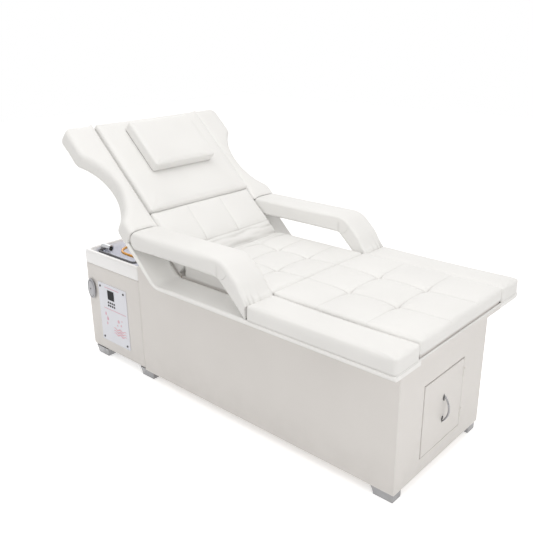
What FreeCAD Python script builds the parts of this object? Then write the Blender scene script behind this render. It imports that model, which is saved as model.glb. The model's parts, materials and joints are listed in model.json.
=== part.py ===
import FreeCAD, Part
import math
import os

V = FreeCAD.Vector
X_AXIS = V(1, 0, 0)
Y_AXIS = V(0, 1, 0)
Z_AXIS = V(0, 0, 1)

# Overall sizes in mm: +X points to the foot end, +Y to the far side, +Z up, origin on the floor
LENGTH = 1774.0
DECK_WIDTH = 850.0
BASE_WIDTH = 605.0
FOOT_HEIGHT = 35.0
LEDGE_Z = 553.5
DECK_T = 19.0
DECK_SET_IN = 1.0
BOARD_T = 18.0
FLOOR_T = 15.0

# Clearances and the overshoot of cutting tools
SKIN = 0.3
PIN_CLEAR = 0.05
OVER = 1.0
TINY = 0.01

# Stations along the length, from the foot end or the head end, two of them as shares of it
HINGE_SHARE = 548 / 887
SEAM_SHARE = 300 / 887
BASE_SET_IN = 52.0
TANK_LENGTH = 411.0
TANK_SEAM = 1.0

# Back board and its wings
REST_DEG = 43.0
UP_DEG = 7.0
BACK_LENGTH = 755.0
BACK_BOARD_T = 16.0
BACK_END_GAP = 0.5
WING_T = 57.0
WING_FROM = 205.0
WING_ROUND = 20.0
WING_CORNER = 35.0
SCOOP_AT = 444.0
SCOOP_R = 215.0
SCOOP_DEPTH = 80.0
SCOOP_BLEND = 40.0
HEAD_HOLE_AFTER_PAD = 33.5
HEAD_HOLE_END = 40.0
HEAD_HOLE_SIDE = 49.0
HEAD_HOLE_R = 60.0

# Form of every cushion: end and seam profiles as (place, share of the drop)
FOOT_TUCK = 0.3
SIDE_TUCK = 0.12
BELLY_AT = 0.55
END_PROFILE = ((0.0, 1.0), (0.12, 0.53), (0.3, 0.29), (0.6, 0.08), (1.0, 0.0))
SEAM_PROFILE = ((-38.0, 0.0), (-22.0, 0.16), (-10.0, 0.55), (0.0, 1.0), (10.0, 0.55), (22.0, 0.16),
                (38.0, 0.0))
END_DRAW = 4.0
SEAM_DRAW = 0.8
END_FLAT = 0.7
SEAM_FLAT = 0.45
PAD_EDGE = 14.0
BACK_PAD_EDGE = 12.0
PANELS = 3

# Cushions, with each end as (drop, run)
PAD_GAP = 2.0
SEAT_REAR_GAP = 22.0
SEAT_H = 62.0
SEAT_PUFF = 8.0
SEAT_SINK = 7.0
SEAT_SEAM_1 = 170.0
SEAT_SEAM_2 = 330.0
SEAT_REAR_END = (16.0, 26.0)
SEAT_FRONT_END = (4.0, 12.0)
SIDE_PAD_H = 54.0
SIDE_PUFF = 5.0
SIDE_REAR_END = (10.0, 20.0)
SIDE_FRONT_END = (8.0, 18.0)
LEG_BOARD_T = 11.0
LEG_BOARD_IN = 6.0
LEG_PAD_H = 50.0
LEG_PUFF = 10.0
LEG_SINK = 9.0
LEG_REAR_END = (4.0, 12.0)
LEG_FRONT_END = (9.0, 22.0)
LOWER_PAD_FROM = 14.0
LOWER_PAD_TO = 281.5
LOWER_PAD_H = 52.0
LOWER_PUFF = 7.0
LOWER_SINK = 7.0
LOWER_SEAM = 82.0
LOWER_TOP_END = (8.0, 14.0)
LOWER_FOOT_END = (30.0, 40.0)
COVER_END_GAP = 16.0
COVER_BOARD_T = 12.0
COVER_BOARD_IN = 4.0
UPPER_PAD_H = 55.0
UPPER_PUFF = 8.0
UPPER_TOP_END = (9.0, 18.0)
UPPER_FOOT_END = (9.0, 16.0)
PILLOW_END_GAP = 42.0
PILLOW_L = 240.0
PILLOW_HALF = 170.0
PILLOW_H = 44.0
PILLOW_PUFF = 8.0
PILLOW_END = (12.0, 22.0)

# Armrests and their front legs, a parallelogram with the back
ARM_GAP = 1.0
ARM_WIDTH = 140.0
ARM_T = 72.0
ARM_CLEAR = 0.5
ARM_REACH = 189.0
ARM_ROUND = 16.0
ARM_LEG_AT = 9.0
ARM_LEG_SHORT = 12.0
ARM_LEG_FRONT = 8.0
ARM_SPARE_DEG = 0.5
ARM_PIN_R = 4.0
ARM_PIN_INSET = 7.0
LUG_IN = 18.0
LUG_T = 6.0
LUG_HALF = 15.0
LUG_EYE_R = 14.0
LUG_PIN_R = 8.0
LUG_PIN_L = 56.0
LUG_PIN_SHORT = 3.0
LUG_SLOT_R = 27.0
LUG_SLOT_REAR = 43.0
LUG_SLOT_GAP = 1.5

# Back hinge, in the middle of the width
HINGE_R = 6.0
HINGE_PIN_R = 3.0
HINGE_RELIEF = 7.5
HINGE_HALF = 240.0
KNUCKLE_L = 60.0
KNUCKLE_GAP = 0.5

# Levers and drives
LEG_AXIS_UP = 58.5
LEG_MAX_DEG = 32.0
LEG_LEVER_R = 150.0
LEG_LEVER_Y = -75.0
LEG_LEVER_FOOT = (14.0, 104.0)
LEG_SLOT = (-64.0, 136.0)
BACK_LEVER_R = 90.0
BACK_LEVER_Y = 75.0
BACK_LEVER_FOOT = (40.0, 130.0)
REAR_TOP_GAP = 8.0
REAR_SLOT_L = 140.0
LEVER_T = 10.0
LEVER_EYE_R = 13.0
LEVER_SLOT_GAP = 2.0
CRANK_PIN_R = 6.0
CRANK_PIN_L = 30.0
ROD_CLEAR = 1.2
ROD_R = 9.0
ROD_PLATE_T = 6.0
ROD_PLATE_GAP = 1.0
ROD_SLOT_WALL = 8.0
ROD_SLOT_RIM = 7.0
ROD_NECK = 34.0
ROD_BRIDGE_T = 10.0
ROD_HOLD = 40.0
BORE_SPARE = 5.0
MOTOR_R = 22.0
MOTOR_L = 250.0
MOTOR_START = 8.0
HANGER_L = 40.0
HANGER_HALF = 15.0
HANGER_IN = 20.0
GEAR_L = 70.0
GEAR_HALF = 28.0
GEAR_DROP = 90.0
GEAR_TOP_DROP = 10.0

# Cupboard and door
BULKHEAD_FROM_END = 355.0
DOOR_HALF = 139.0
DOOR_Z0 = 94.0
DOOR_Z1 = 376.0
DOOR_GAP = 1.5
DOOR_BARREL_R = 4.5
DOOR_PIN_R = 2.5
DOOR_BARREL_L = 12.0
DOOR_BARREL_INSET = 40.0
HANDLE_R = 4.5
HANDLE_L = 111.0
HANDLE_OUT = 27.0
HANDLE_LOW = 3.5
HANDLE_BOSS_R = 7.0
HANDLE_BOSS_T = 4.0

# Feet
FOOT_L = 94.0
FOOT_W = 52.0
FOOT_INSET = 6.0
FOOT_HEAD_IN = 21.0
FOOT_CURVE_R = 60.0
FOOT_CURVE_IN = 14.0
FOOT_CURVE_LOW = 4.0

# Basin cabinet, measured from the head end and down from the flat back
TANK_WALL = 12.0
RIM_BELOW_BACK = 10.5
RIM_H = 63.0
RIM_W = 25.0
BASIN_WALL = 6.0
BASIN_DEPTH = 227.0
BASIN_CORNER = 40.0
DRAIN_FROM_HEAD = 197.0
DRAIN_R = 22.0
TRAP_R = 20.0
TRAP_WALL = 3.0
TRAP_DROP = 110.0
TRAP_BEND = 40.0
SPIGOT_OUT = 28.0
SPIGOT_NECK = 5.0
SPIGOT_NECK_IN = 1.5
STRAINER_T = 3.0
STRAINER_LIP = 8.0
STRAINER_HOLE_R = 3.0
STRAINER_RING_R = 13.0
STRAINER_HOLES = 8

# Panel, keys, knob
PANEL_FROM_HEAD = 101.0
PANEL_W = 212.0
PANEL_H = 294.0
PANEL_T = 4.0
PANEL_Z0 = 97.0
SCREW_R = 5.0
SCREW_H = 2.5
SCREW_INSET = 18.0
DISPLAY_W = 47.0
DISPLAY_H = 46.0
DISPLAY_DOWN = 27.0
DISPLAY_OFF = 10.0
DISPLAY_T = 1.5
KEY_R = 4.5
KEY_H = 2.0
KEY_PITCH = 15.0
KEY_DOWN = 88.0
KEY_COLUMNS = 4
KEY_ROWS = 2
KNOB_FROM_HEAD = 52.0
KNOB_Z = 343.0
KNOB_HALF_W = 30.0
KNOB_HALF_H = 50.0
KNOB_T = 13.0
KNOB_OFF = 6.0
KNOB_ROUND = 6.0
KNOB_DIMPLE = 3.0
KNOB_BOSS_R = 14.0
SPINDLE_R = 6.0
SPINDLE_PAST = 4.0

# Tap, hose and water tube
TAP_FROM_WALL = 72.5
TAP_BELOW_RIM = 7.0
TAP_R = 16.0
TAP_L = 60.0
TAP_FLANGE_R = 22.0
TAP_FLANGE_T = 5.0
TAP_BORE_R = 11.0
TAP_BORE_D = 18.0
VALVE_R = 13.0
VALVE_DROP = 24.0
LEVER_NECK_R = 6.0
LEVER_NECK_L = 14.0
LEVER_HUB_R = 11.0
LEVER_HUB_H = 16.0
LEVER_BAR_R = 4.0
LEVER_BAR_L = 40.0
HOSE_R = 5.0
HOSE_BEND = 20.0
HOSE_FROM_WALL = 17.5
HOSE_END = 56.0
HALO_R = 6.0
HALO_FROM_WALL = 72.5
HALO_FROM_HEAD = 122.0
HALO_BELOW_RIM = 8.0
HALO_BEND = 75.0
CLIP_R = 11.0
CLIP_L = 14.0
CLIP_LOW = 2.0

# Units inside the cabinet
HEATER_R = 62.0
HEATER_L = 220.0
HEATER_GAP = 20.0
PUMP_L = 110.0
PUMP_W = 90.0
PUMP_H = 100.0
PUMP_GAP = 30.0
PUMP_FROM_END = 42.0
BOX_L = 160.0
BOX_W = 44.0
BOX_H = 150.0
BOX_IN = 26.0
BOX_UP = 20.0
STUB_R = 10.0
STUB_OUT = 24.0
STUB_NECK = 4.0
STUB_NECK_R = 8.5
STUB_IN = 20.0
STUB_PITCH = 70.0
INLET_W = 48.0
INLET_H = 28.0
INLET_OUT = 3.0
INLET_IN = 14.0

# Places that follow from the sizes
XF = LENGTH / 2
XH = -LENGTH / 2
XA = XF - LENGTH * HINGE_SHARE
XS = XF - LENGTH * SEAM_SHARE
XE = XF - BASE_SET_IN
XT = XH + TANK_LENGTH
XB = XT + TANK_SEAM
HALF = DECK_WIDTH / 2
PAD_HALF = HALF - ARM_WIDTH - ARM_GAP
HEAD_HOLE_HALF = PAD_HALF - HEAD_HOLE_SIDE
BASE_HALF = BASE_WIDTH / 2
INNER = BASE_HALF - BOARD_T
DECK_Z0 = LEDGE_Z - DECK_T
FLOOR_TOP = FOOT_HEIGHT + FLOOR_T
ARM_INNER = PAD_HALF + ARM_GAP
ARM_HALF = ARM_T / 2
ARM_M = ARM_HALF + ARM_CLEAR
XD = XS - ARM_LEG_AT
SIN = math.sin(math.radians(REST_DEG))
COS = math.cos(math.radians(REST_DEG))
LINK_X = -ARM_REACH * COS + ARM_M * SIN
LINK_Z = ARM_REACH * SIN + ARM_M * COS
BX = XA + LINK_X
BZ = LEDGE_Z + LINK_Z
CX = XD + LINK_X
COVER_TO = BACK_LENGTH - COVER_END_GAP
RIM_Z1 = LEDGE_Z - BACK_BOARD_T - RIM_BELOW_BACK
RIM_Z0 = RIM_Z1 - RIM_H
BASIN_FLOOR_Z = RIM_Z1 - BASIN_DEPTH

nodes = {}


def box(x0, x1, y0, y1, z0, z1):
    return Part.makeBox(x1 - x0, y1 - y0, z1 - z0, V(x0, y0, z0))


def rod_x(y, z, r, x0, x1):
    return Part.makeCylinder(r, x1 - x0, V(x0, y, z), X_AXIS)


def rod_y(x, z, r, y0, y1):
    return Part.makeCylinder(r, y1 - y0, V(x, y0, z), Y_AXIS)


def rod_z(x, y, r, z0, z1):
    return Part.makeCylinder(r, z1 - z0, V(x, y, z0), Z_AXIS)


def prism_xz(points, y0, y1):
    ring = [V(x, y0, z) for x, z in points]
    return Part.Face(Part.makePolygon(ring + ring[:1])).extrude(V(0, y1 - y0, 0))


def mirror(shape):
    return shape.mirror(V(0, 0, 0), Y_AXIS)


def upright_edges(shape):
    return [e for e in shape.Edges if abs(e.tangentAt(e.FirstParameter).z) > 1 - TINY]


def tip_back(shape):
    """Turn a back piece from the flat pose to the pose shown."""
    turned = shape.copy()
    turned.rotate(V(XA, 0, LEDGE_Z), Y_AXIS, REST_DEG)
    return turned


def on_back(u, n):
    """Point of the tipped back, u along it from the hinge and n out of its front."""
    return (XA - u * COS + n * SIN, LEDGE_Z + u * SIN + n * COS)


def arc(a, b, c):
    return Part.Arc(a, b, c).toShape()


def line(a, b):
    return Part.LineSegment(a, b).toShape()


def tube(path, r):
    """Round bar along a wire."""
    first = path.Edges[0]
    ring = Part.makeCircle(r, first.valueAt(first.FirstParameter), first.tangentAt(first.FirstParameter))
    return path.makePipeShell([Part.Wire(ring)], True, False)


def bent(points, radius):
    """Straight runs joined by tangent arcs of one radius."""
    edges = []
    at = points[0]
    for p, q, s in zip(points[:-2], points[1:-1], points[2:]):
        a, b = (p - q).normalize(), (s - q).normalize()
        half = a.getAngle(b) / 2
        start, end = q + a * (radius / math.tan(half)), q + b * (radius / math.tan(half))
        top = q + (a + b).normalize() * (radius / math.sin(half) - radius)
        edges += [line(at, start), arc(start, top, end)]
        at = end
    edges.append(line(at, points[-1]))
    return Part.Wire(edges)


def lever_plate(foot_a, foot_b, eye, eye_r, y0, y1):
    """Flat plate from a straight foot to a round eye."""
    x, z = eye
    plate = prism_xz([foot_a, foot_b, (x + eye_r, z), (x - eye_r, z)], y0, y1)
    return plate.fuse(rod_y(x, z, eye_r, y0, y1))


def pad_section(x, y_lines, z0, top, puff, draw, edge):
    """One upright section of a cushion: flat foot, bulged sides, one crowned arc for each panel."""
    left, right = y_lines[0] + draw, y_lines[-1] - draw
    seam_y = [left + edge] + list(y_lines[1:-1]) + [right - edge]
    seam = [V(x, y, top) for y in seam_y]
    foot_l, foot_r = V(x, left + edge * FOOT_TUCK, z0), V(x, right - edge * FOOT_TUCK, z0)
    belly = z0 + (top - z0) * BELLY_AT
    edges = [line(foot_l, foot_r), arc(foot_r, V(x, right - edge * SIDE_TUCK, belly), seam[-1])]
    for a, b in zip(seam[:0:-1], seam[-2::-1]):
        edges.append(arc(a, V(x, (a.y + b.y) / 2, top + puff), b))
    edges.append(arc(seam[0], V(x, left + edge * SIDE_TUCK, belly), foot_l))
    return Part.Wire(edges)


def cushion(x0, x1, seams, y_lines, z0, height, puff, sink, end0, end1, edge):
    """Loft along X: drawn in and lowered at both ends, sunk at the sewn lines, full between them."""
    top = z0 + height
    rows = []
    for t, k in END_PROFILE:
        rows.append((x0 + end0[1] * t, top - end0[0] * k, puff * (1 - END_FLAT * k), END_DRAW * k))
    for x in seams:
        for t, k in SEAM_PROFILE:
            rows.append((x + t, top - sink * k, puff * (1 - SEAM_FLAT * k), SEAM_DRAW * k))
    for t, k in END_PROFILE[::-1]:
        rows.append((x1 - end1[1] * t, top - end1[0] * k, puff * (1 - END_FLAT * k), END_DRAW * k))
    wires = [pad_section(x, y_lines, z0, tip, crown, draw, edge) for x, tip, crown, draw in rows]
    return Part.makeLoft(wires, True, True)


# Base carcass
nodes["base_side_near"] = box(XB, XE, -BASE_HALF, -INNER, FOOT_HEIGHT, DECK_Z0)
nodes["base_side_far"] = box(XB, XE, INNER, BASE_HALF, FOOT_HEIGHT, DECK_Z0)
nodes["base_floor"] = box(XB, XE - BOARD_T, -INNER, INNER, FOOT_HEIGHT, FLOOR_TOP)
bulk_x = XE - BULKHEAD_FROM_END
nodes["base_bulkhead"] = box(bulk_x, bulk_x + BOARD_T, -INNER, INNER, FLOOR_TOP, DECK_Z0)

door_axis_y = DOOR_HALF - DOOR_GAP / 2
barrels = []
for low in (DOOR_Z0 + DOOR_BARREL_INSET, DOOR_Z1 - DOOR_BARREL_INSET - 3 * DOOR_BARREL_L):
    barrels.append([low + i * DOOR_BARREL_L for i in range(4)])


def door_rod(r, z0, z1):
    return rod_z(XE, door_axis_y, r, z0, z1)


end_panel = box(XE - BOARD_T, XE, -INNER, INNER, FOOT_HEIGHT, DECK_Z0)
end_panel = end_panel.cut(box(XE - BOARD_T - OVER, XE + OVER, -DOOR_HALF, DOOR_HALF, DOOR_Z0, DOOR_Z1))
for z0, z1, z2, z3 in barrels:
    end_panel = end_panel.cut([door_rod(DOOR_BARREL_R, z0, z1), door_rod(DOOR_BARREL_R + SKIN, z1, z2),
                               door_rod(DOOR_BARREL_R, z2, z3)])
nodes["base_end_panel"] = end_panel

lever_slot_half = LEVER_T / 2 + CRANK_PIN_L / 2 + LEVER_SLOT_GAP
rear_top = box(XB, XA - REAR_TOP_GAP, -INNER, INNER, DECK_Z0 - BOARD_T, DECK_Z0)
nodes["rear_top_board"] = rear_top.cut(box(XA - REAR_SLOT_L, XA, BACK_LEVER_Y - lever_slot_half,
                                           BACK_LEVER_Y + lever_slot_half, DECK_Z0 - BOARD_T - OVER, LEDGE_Z))

deck_low, deck_high = DECK_Z0 - OVER, LEDGE_Z + OVER
deck = box(XA + BACK_END_GAP, XF - DECK_SET_IN, -HALF, HALF, DECK_Z0, LEDGE_Z)
deck = deck.cut(box(XS + LEG_SLOT[0], XS + LEG_SLOT[1], LEG_LEVER_Y - lever_slot_half,
                    LEG_LEVER_Y + lever_slot_half, deck_low, deck_high))
deck = deck.cut(box(XA, XA + HINGE_RELIEF, -HINGE_HALF, HINGE_HALF, deck_low, deck_high))
arm_pin = rod_y(XD, LEDGE_Z, ARM_PIN_R, -HALF + ARM_PIN_INSET, -ARM_INNER - ARM_PIN_INSET)
arm_pins = [arm_pin, mirror(arm_pin)]
nodes["deck_board"] = deck.cut(arm_pins)
nodes["arm_hinge_pins"] = Part.makeCompound(arm_pins)

foot_y = BASE_HALF - FOOT_INSET
feet = []
for x, way in ((XE - FOOT_INSET - FOOT_L, 1), (XB - FOOT_L / 2, -1), (XH + FOOT_HEAD_IN, -1)):
    foot = box(x, x + FOOT_L, -foot_y, -foot_y + FOOT_W, 0, FOOT_HEIGHT)
    toe = x + FOOT_L / 2 + way * (FOOT_L / 2 + FOOT_CURVE_R - FOOT_CURVE_IN)
    foot = foot.cut(rod_y(toe, -FOOT_CURVE_LOW, FOOT_CURVE_R, -foot_y - OVER, -foot_y + FOOT_W + OVER))
    feet += [foot, mirror(foot)]
nodes["feet"] = Part.makeCompound(feet)

# Cupboard door
door = box(XE - BOARD_T, XE, -DOOR_HALF + DOOR_GAP, DOOR_HALF - DOOR_GAP,
           DOOR_Z0 + DOOR_GAP, DOOR_Z1 - DOOR_GAP)
fixed, moving = [], []
for z0, z1, z2, z3 in barrels:
    door = door.cut([door_rod(DOOR_BARREL_R + SKIN, z0 - SKIN, z1 + SKIN), door_rod(DOOR_BARREL_R, z1, z2),
                     door_rod(DOOR_BARREL_R + SKIN, z2 - SKIN, z3 + SKIN)])
    pin = door_rod(DOOR_PIN_R, z0, z3)
    ends = [door_rod(DOOR_BARREL_R, z0, z1), door_rod(DOOR_BARREL_R, z2, z3)]
    fixed.append(pin.fuse(ends).removeSplitter())
    sleeve = door_rod(DOOR_BARREL_R, z1 + SKIN, z2 - SKIN)
    moving.append(sleeve.cut(door_rod(DOOR_PIN_R + PIN_CLEAR, z1, z2)))
nodes["door"] = door
nodes["door_hinge_fixed"] = Part.makeCompound(fixed)
nodes["door_hinge_moving"] = Part.makeCompound(moving)

handle_mid = (DOOR_Z0 + DOOR_Z1) / 2 - HANDLE_LOW
handle_ends = (handle_mid - HANDLE_L / 2, handle_mid + HANDLE_L / 2)
bow = Part.Wire(arc(V(XE, 0, handle_ends[0]), V(XE + HANDLE_OUT, 0, handle_mid), V(XE, 0, handle_ends[1])))
keep = box(XE, XE + HANDLE_OUT + HANDLE_L, -HANDLE_L, HANDLE_L, handle_mid - HANDLE_L, handle_mid + HANDLE_L)
bosses = [rod_x(0, z, HANDLE_BOSS_R, XE, XE + HANDLE_BOSS_T) for z in handle_ends]
nodes["door_handle"] = tube(bow, HANDLE_R).common(keep).fuse(bosses).removeSplitter()

# Fixed cushions on the deck
pad_lines = [-PAD_HALF + i * 2 * PAD_HALF / PANELS for i in range(PANELS + 1)]
seat_x0, seat_x1 = XA + SEAT_REAR_GAP, XS - PAD_GAP
seat_seams = [seat_x0 + SEAT_SEAM_1, seat_x0 + SEAT_SEAM_2]
nodes["seat_pad"] = cushion(seat_x0, seat_x1, seat_seams, pad_lines, LEDGE_Z, SEAT_H, SEAT_PUFF, SEAT_SINK,
                            SEAT_REAR_END, SEAT_FRONT_END, PAD_EDGE)
side_pad = cushion(XS + PAD_GAP, XF, [], [-HALF, -PAD_HALF - PAD_GAP], LEDGE_Z, SIDE_PAD_H, SIDE_PUFF, 0.0,
                   SIDE_REAR_END, SIDE_FRONT_END, PAD_EDGE)
nodes["side_pad_right"] = side_pad
nodes["side_pad_left"] = mirror(side_pad)

# Leg rest, which turns about the seam at the top of the cushions
leg_x0, leg_x1 = XS + SKIN, XF - PAD_GAP
leg_z0 = LEDGE_Z + SKIN
leg_top = leg_z0 + LEG_BOARD_T
leg_half = PAD_HALF - LEG_BOARD_IN
nodes["leg_board"] = box(leg_x0 + PAD_GAP, leg_x1 - LEG_BOARD_IN, -leg_half, leg_half, leg_z0, leg_top)
leg_seams = [leg_x0 + i * (leg_x1 - leg_x0) / PANELS for i in range(1, PANELS)]
nodes["leg_pad"] = cushion(leg_x0, leg_x1, leg_seams, pad_lines, leg_top, LEG_PAD_H, LEG_PUFF, LEG_SINK,
                           LEG_REAR_END, LEG_FRONT_END, PAD_EDGE)
leg_axis_z = LEDGE_Z + LEG_AXIS_UP
leg_swing = math.radians(LEG_MAX_DEG / 2)
leg_pin_x = XS - LEG_LEVER_R * math.sin(leg_swing)
leg_pin_z = leg_axis_z - LEG_LEVER_R * math.cos(leg_swing)


def crank(foot_a, foot_b, x, z, y):
    """Lever plate with a crank pin through its eye."""
    plate = lever_plate(foot_a, foot_b, (x, z), LEVER_EYE_R, y - LEVER_T / 2, y + LEVER_T / 2)
    return plate.fuse(rod_y(x, z, CRANK_PIN_R, y - CRANK_PIN_L / 2, y + CRANK_PIN_L / 2)).removeSplitter()


def drive(pin_x, mid_z, rise, y, way, travel, retract):
    """Motor unit hung from the deck, and its push rod, whose slotted end plates hold a crank pin."""
    slot_w = CRANK_PIN_R + ROD_CLEAR
    slot_h = rise + slot_w
    plate_h = slot_h + ROD_SLOT_RIM
    inner_y = LEVER_T / 2 + ROD_PLATE_GAP
    outer_y = inner_y + ROD_PLATE_T
    root = pin_x - way * (travel + ROD_NECK)
    tip = pin_x + way * (slot_w + ROD_SLOT_WALL)
    bridge_back = root - way * ROD_BRIDGE_T
    fork = box(min(tip, bridge_back), max(tip, bridge_back), y - outer_y, y + outer_y,
               mid_z - plate_h, mid_z + plate_h)
    gap_end = tip + way * OVER
    fork = fork.cut(box(min(gap_end, root), max(gap_end, root), y - inner_y, y + inner_y,
                        mid_z - plate_h - OVER, mid_z + plate_h + OVER))
    fork = fork.cut(box(pin_x - slot_w, pin_x + slot_w, y - outer_y - OVER, y + outer_y + OVER,
                        mid_z - slot_h, mid_z + slot_h))
    face = bridge_back - way * (retract + MOTOR_START)
    stem_end = face - way * (travel + ROD_HOLD)
    rod = fork.fuse(rod_x(y, mid_z, ROD_R, min(bridge_back, stem_end), max(bridge_back, stem_end)))
    back_end = face - way * MOTOR_L
    m0, m1 = min(face, back_end), max(face, back_end)
    body = [rod_x(y, mid_z, MOTOR_R, m0, m1)]
    for x in (m0 + HANGER_IN, m1 - HANGER_IN - HANGER_L):
        body.append(box(x, x + HANGER_L, y - HANGER_HALF, y + HANGER_HALF, mid_z, DECK_Z0))
    gear_end = back_end + way * GEAR_L
    body.append(box(min(back_end, gear_end), max(back_end, gear_end), y - GEAR_HALF, y + GEAR_HALF,
                    mid_z - GEAR_DROP, mid_z - GEAR_TOP_DROP))
    bore_end = face - way * (travel + retract + ROD_HOLD + BORE_SPARE)
    bore_start = face + way * OVER
    bore = rod_x(y, mid_z, ROD_R + PIN_CLEAR, min(bore_start, bore_end), max(bore_start, bore_end))
    return body[0].fuse(body[1:]).cut(bore).removeSplitter(), rod.removeSplitter()


nodes["leg_lever"] = crank((XS + LEG_LEVER_FOOT[0], leg_z0), (XS + LEG_LEVER_FOOT[1], leg_z0),
                           leg_pin_x, leg_pin_z, LEG_LEVER_Y)
leg_rise = LEG_LEVER_R * (1 - math.cos(leg_swing)) / 2
leg_travel = 2 * LEG_LEVER_R * math.sin(leg_swing)
nodes["leg_motor"], nodes["leg_rod"] = drive(leg_pin_x, leg_pin_z - leg_rise, leg_rise, LEG_LEVER_Y, 1,
                                             leg_travel, 0.0)


# Back, built lying flat and then tipped up
def outline(u0, inner):
    """Plan of the near half of the back, from u0 to the head end and from the inner line to the edge."""
    centre = -HALF + SCOOP_DEPTH - SCOOP_R
    rise = -HALF - centre
    run = math.sqrt((SCOOP_R + SCOOP_BLEND) ** 2 - (rise + SCOOP_BLEND) ** 2)
    share = SCOOP_R / (SCOOP_R + SCOOP_BLEND)

    def at(u, y):
        return V(XA - u, y, 0)

    blends = []
    for sign in (-1, 1):
        middle = at(SCOOP_AT + sign * run, -HALF + SCOOP_BLEND)
        on_line = at(SCOOP_AT + sign * run, -HALF)
        on_arc = at(SCOOP_AT + sign * run * share, centre + (rise + SCOOP_BLEND) * share)
        way = ((on_line + on_arc) * 0.5 - middle).normalize()
        blends.append((on_line, middle + way * SCOOP_BLEND, on_arc))
    (a0, a1, a2), (b0, b1, b2) = blends
    round_u = BACK_LENGTH - WING_CORNER
    round_y = -HALF + WING_CORNER
    slant = WING_CORNER / math.sqrt(2)
    return Part.Wire([line(at(u0, inner), at(u0, -HALF)), line(at(u0, -HALF), a0), arc(a0, a1, a2),
                      arc(a2, at(SCOOP_AT, -HALF + SCOOP_DEPTH), b2), arc(b2, b1, b0),
                      line(b0, at(round_u, -HALF)),
                      arc(at(round_u, -HALF), at(round_u + slant, round_y - slant), at(BACK_LENGTH, round_y)),
                      line(at(BACK_LENGTH, round_y), at(BACK_LENGTH, inner)),
                      line(at(BACK_LENGTH, inner), at(u0, inner))])


def back_box(u0, u1, y0, y1, n0, n1):
    return box(XA - u1, XA - u0, y0, y1, LEDGE_Z + n0, LEDGE_Z + n1)


half_board = Part.Face(outline(BACK_END_GAP, 0.0)).extrude(V(0, 0, BACK_BOARD_T))
half_board.translate(V(0, 0, LEDGE_Z - BACK_BOARD_T))
board = half_board.fuse(mirror(half_board)).removeSplitter()
board_low = -BACK_BOARD_T - OVER
hole = back_box(LOWER_PAD_TO + HEAD_HOLE_AFTER_PAD, BACK_LENGTH - HEAD_HOLE_END,
                -HEAD_HOLE_HALF, HEAD_HOLE_HALF, board_low, OVER)
hole = hole.makeFillet(HEAD_HOLE_R, upright_edges(hole))
relief = back_box(-OVER, HINGE_RELIEF, -HINGE_HALF, HINGE_HALF, board_low, OVER)
nodes["back_board"] = tip_back(board.cut([hole, relief]))

wing_in = -PAD_HALF - PAD_GAP
wing = Part.Face(outline(WING_FROM, wing_in)).extrude(V(0, 0, WING_T))
wing.translate(V(0, 0, LEDGE_Z))
front = []
for edge in wing.Edges:
    spot = edge.CenterOfMass
    on_top = edge.BoundBox.ZMin > LEDGE_Z + WING_T - TINY
    if on_top and spot.x < XA - WING_FROM - TINY and spot.y < wing_in - TINY:
        front.append(edge)
wing = wing.makeFillet(WING_ROUND, front)
arm_bed = rod_y(XA - ARM_REACH, LEDGE_Z + ARM_M, ARM_M + SKIN, -HALF - OVER, -PAD_HALF)
wing = wing.cut(arm_bed)
nodes["wing_pad_right"] = tip_back(wing)
nodes["wing_pad_left"] = tip_back(mirror(wing))

lower_x0, lower_x1 = XA - LOWER_PAD_TO, XA - LOWER_PAD_FROM
lower_pad = cushion(lower_x0, lower_x1, [lower_x1 - LOWER_SEAM], pad_lines, LEDGE_Z, LOWER_PAD_H, LOWER_PUFF,
                    LOWER_SINK, LOWER_TOP_END, LOWER_FOOT_END, BACK_PAD_EDGE)
nodes["lower_back_pad"] = tip_back(lower_pad)

# Lift-off cover of the head opening, with its pad and pillow
cover_from = LOWER_PAD_TO + PAD_GAP
cover_half = PAD_HALF - COVER_BOARD_IN
cover_top = SKIN + COVER_BOARD_T
nodes["cover_board"] = tip_back(back_box(cover_from + COVER_BOARD_IN, COVER_TO - COVER_BOARD_IN,
                                         -cover_half, cover_half, SKIN, cover_top))
upper_z0 = LEDGE_Z + cover_top
upper_pad = cushion(XA - COVER_TO, XA - cover_from, [], [-PAD_HALF, PAD_HALF], upper_z0, UPPER_PAD_H,
                    UPPER_PUFF, 0.0, UPPER_TOP_END, UPPER_FOOT_END, BACK_PAD_EDGE)
nodes["upper_pad"] = tip_back(upper_pad)
pillow_x0 = XA - COVER_TO + PILLOW_END_GAP
pillow_z0 = upper_z0 + UPPER_PAD_H + UPPER_PUFF
pillow = cushion(pillow_x0, pillow_x0 + PILLOW_L, [], [-PILLOW_HALF, PILLOW_HALF], pillow_z0, PILLOW_H,
                 PILLOW_PUFF, 0.0, PILLOW_END, PILLOW_END, PAD_EDGE)
nodes["pillow"] = tip_back(pillow)

# Back hinge, knuckles on one pin
knuckles = 2 * int(HINGE_HALF // KNUCKLE_L)
pitch = 2 * HINGE_HALF / knuckles
fixed, moving = [], []
for i in range(knuckles):
    y0 = -HINGE_HALF + i * pitch + KNUCKLE_GAP
    y1 = y0 + pitch - 2 * KNUCKLE_GAP
    barrel = rod_y(XA, LEDGE_Z, HINGE_R, y0, y1)
    pin_hole = rod_y(XA, LEDGE_Z, HINGE_PIN_R + PIN_CLEAR, y0 - OVER, y1 + OVER)
    if i % 2:
        leaf = box(XA, XA + HINGE_RELIEF, y0, y1, LEDGE_Z - HINGE_R, LEDGE_Z)
        fixed.append(barrel.fuse(leaf).removeSplitter().cut(pin_hole))
    else:
        leaf = back_box(0, HINGE_RELIEF, y0, y1, -HINGE_R, 0)
        moving.append(tip_back(barrel.fuse(leaf).removeSplitter().cut(pin_hole)))
nodes["back_hinge_fixed"] = Part.makeCompound(fixed)
nodes["back_hinge_moving"] = Part.makeCompound(moving)
pin_half = HINGE_HALF - KNUCKLE_GAP
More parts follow.
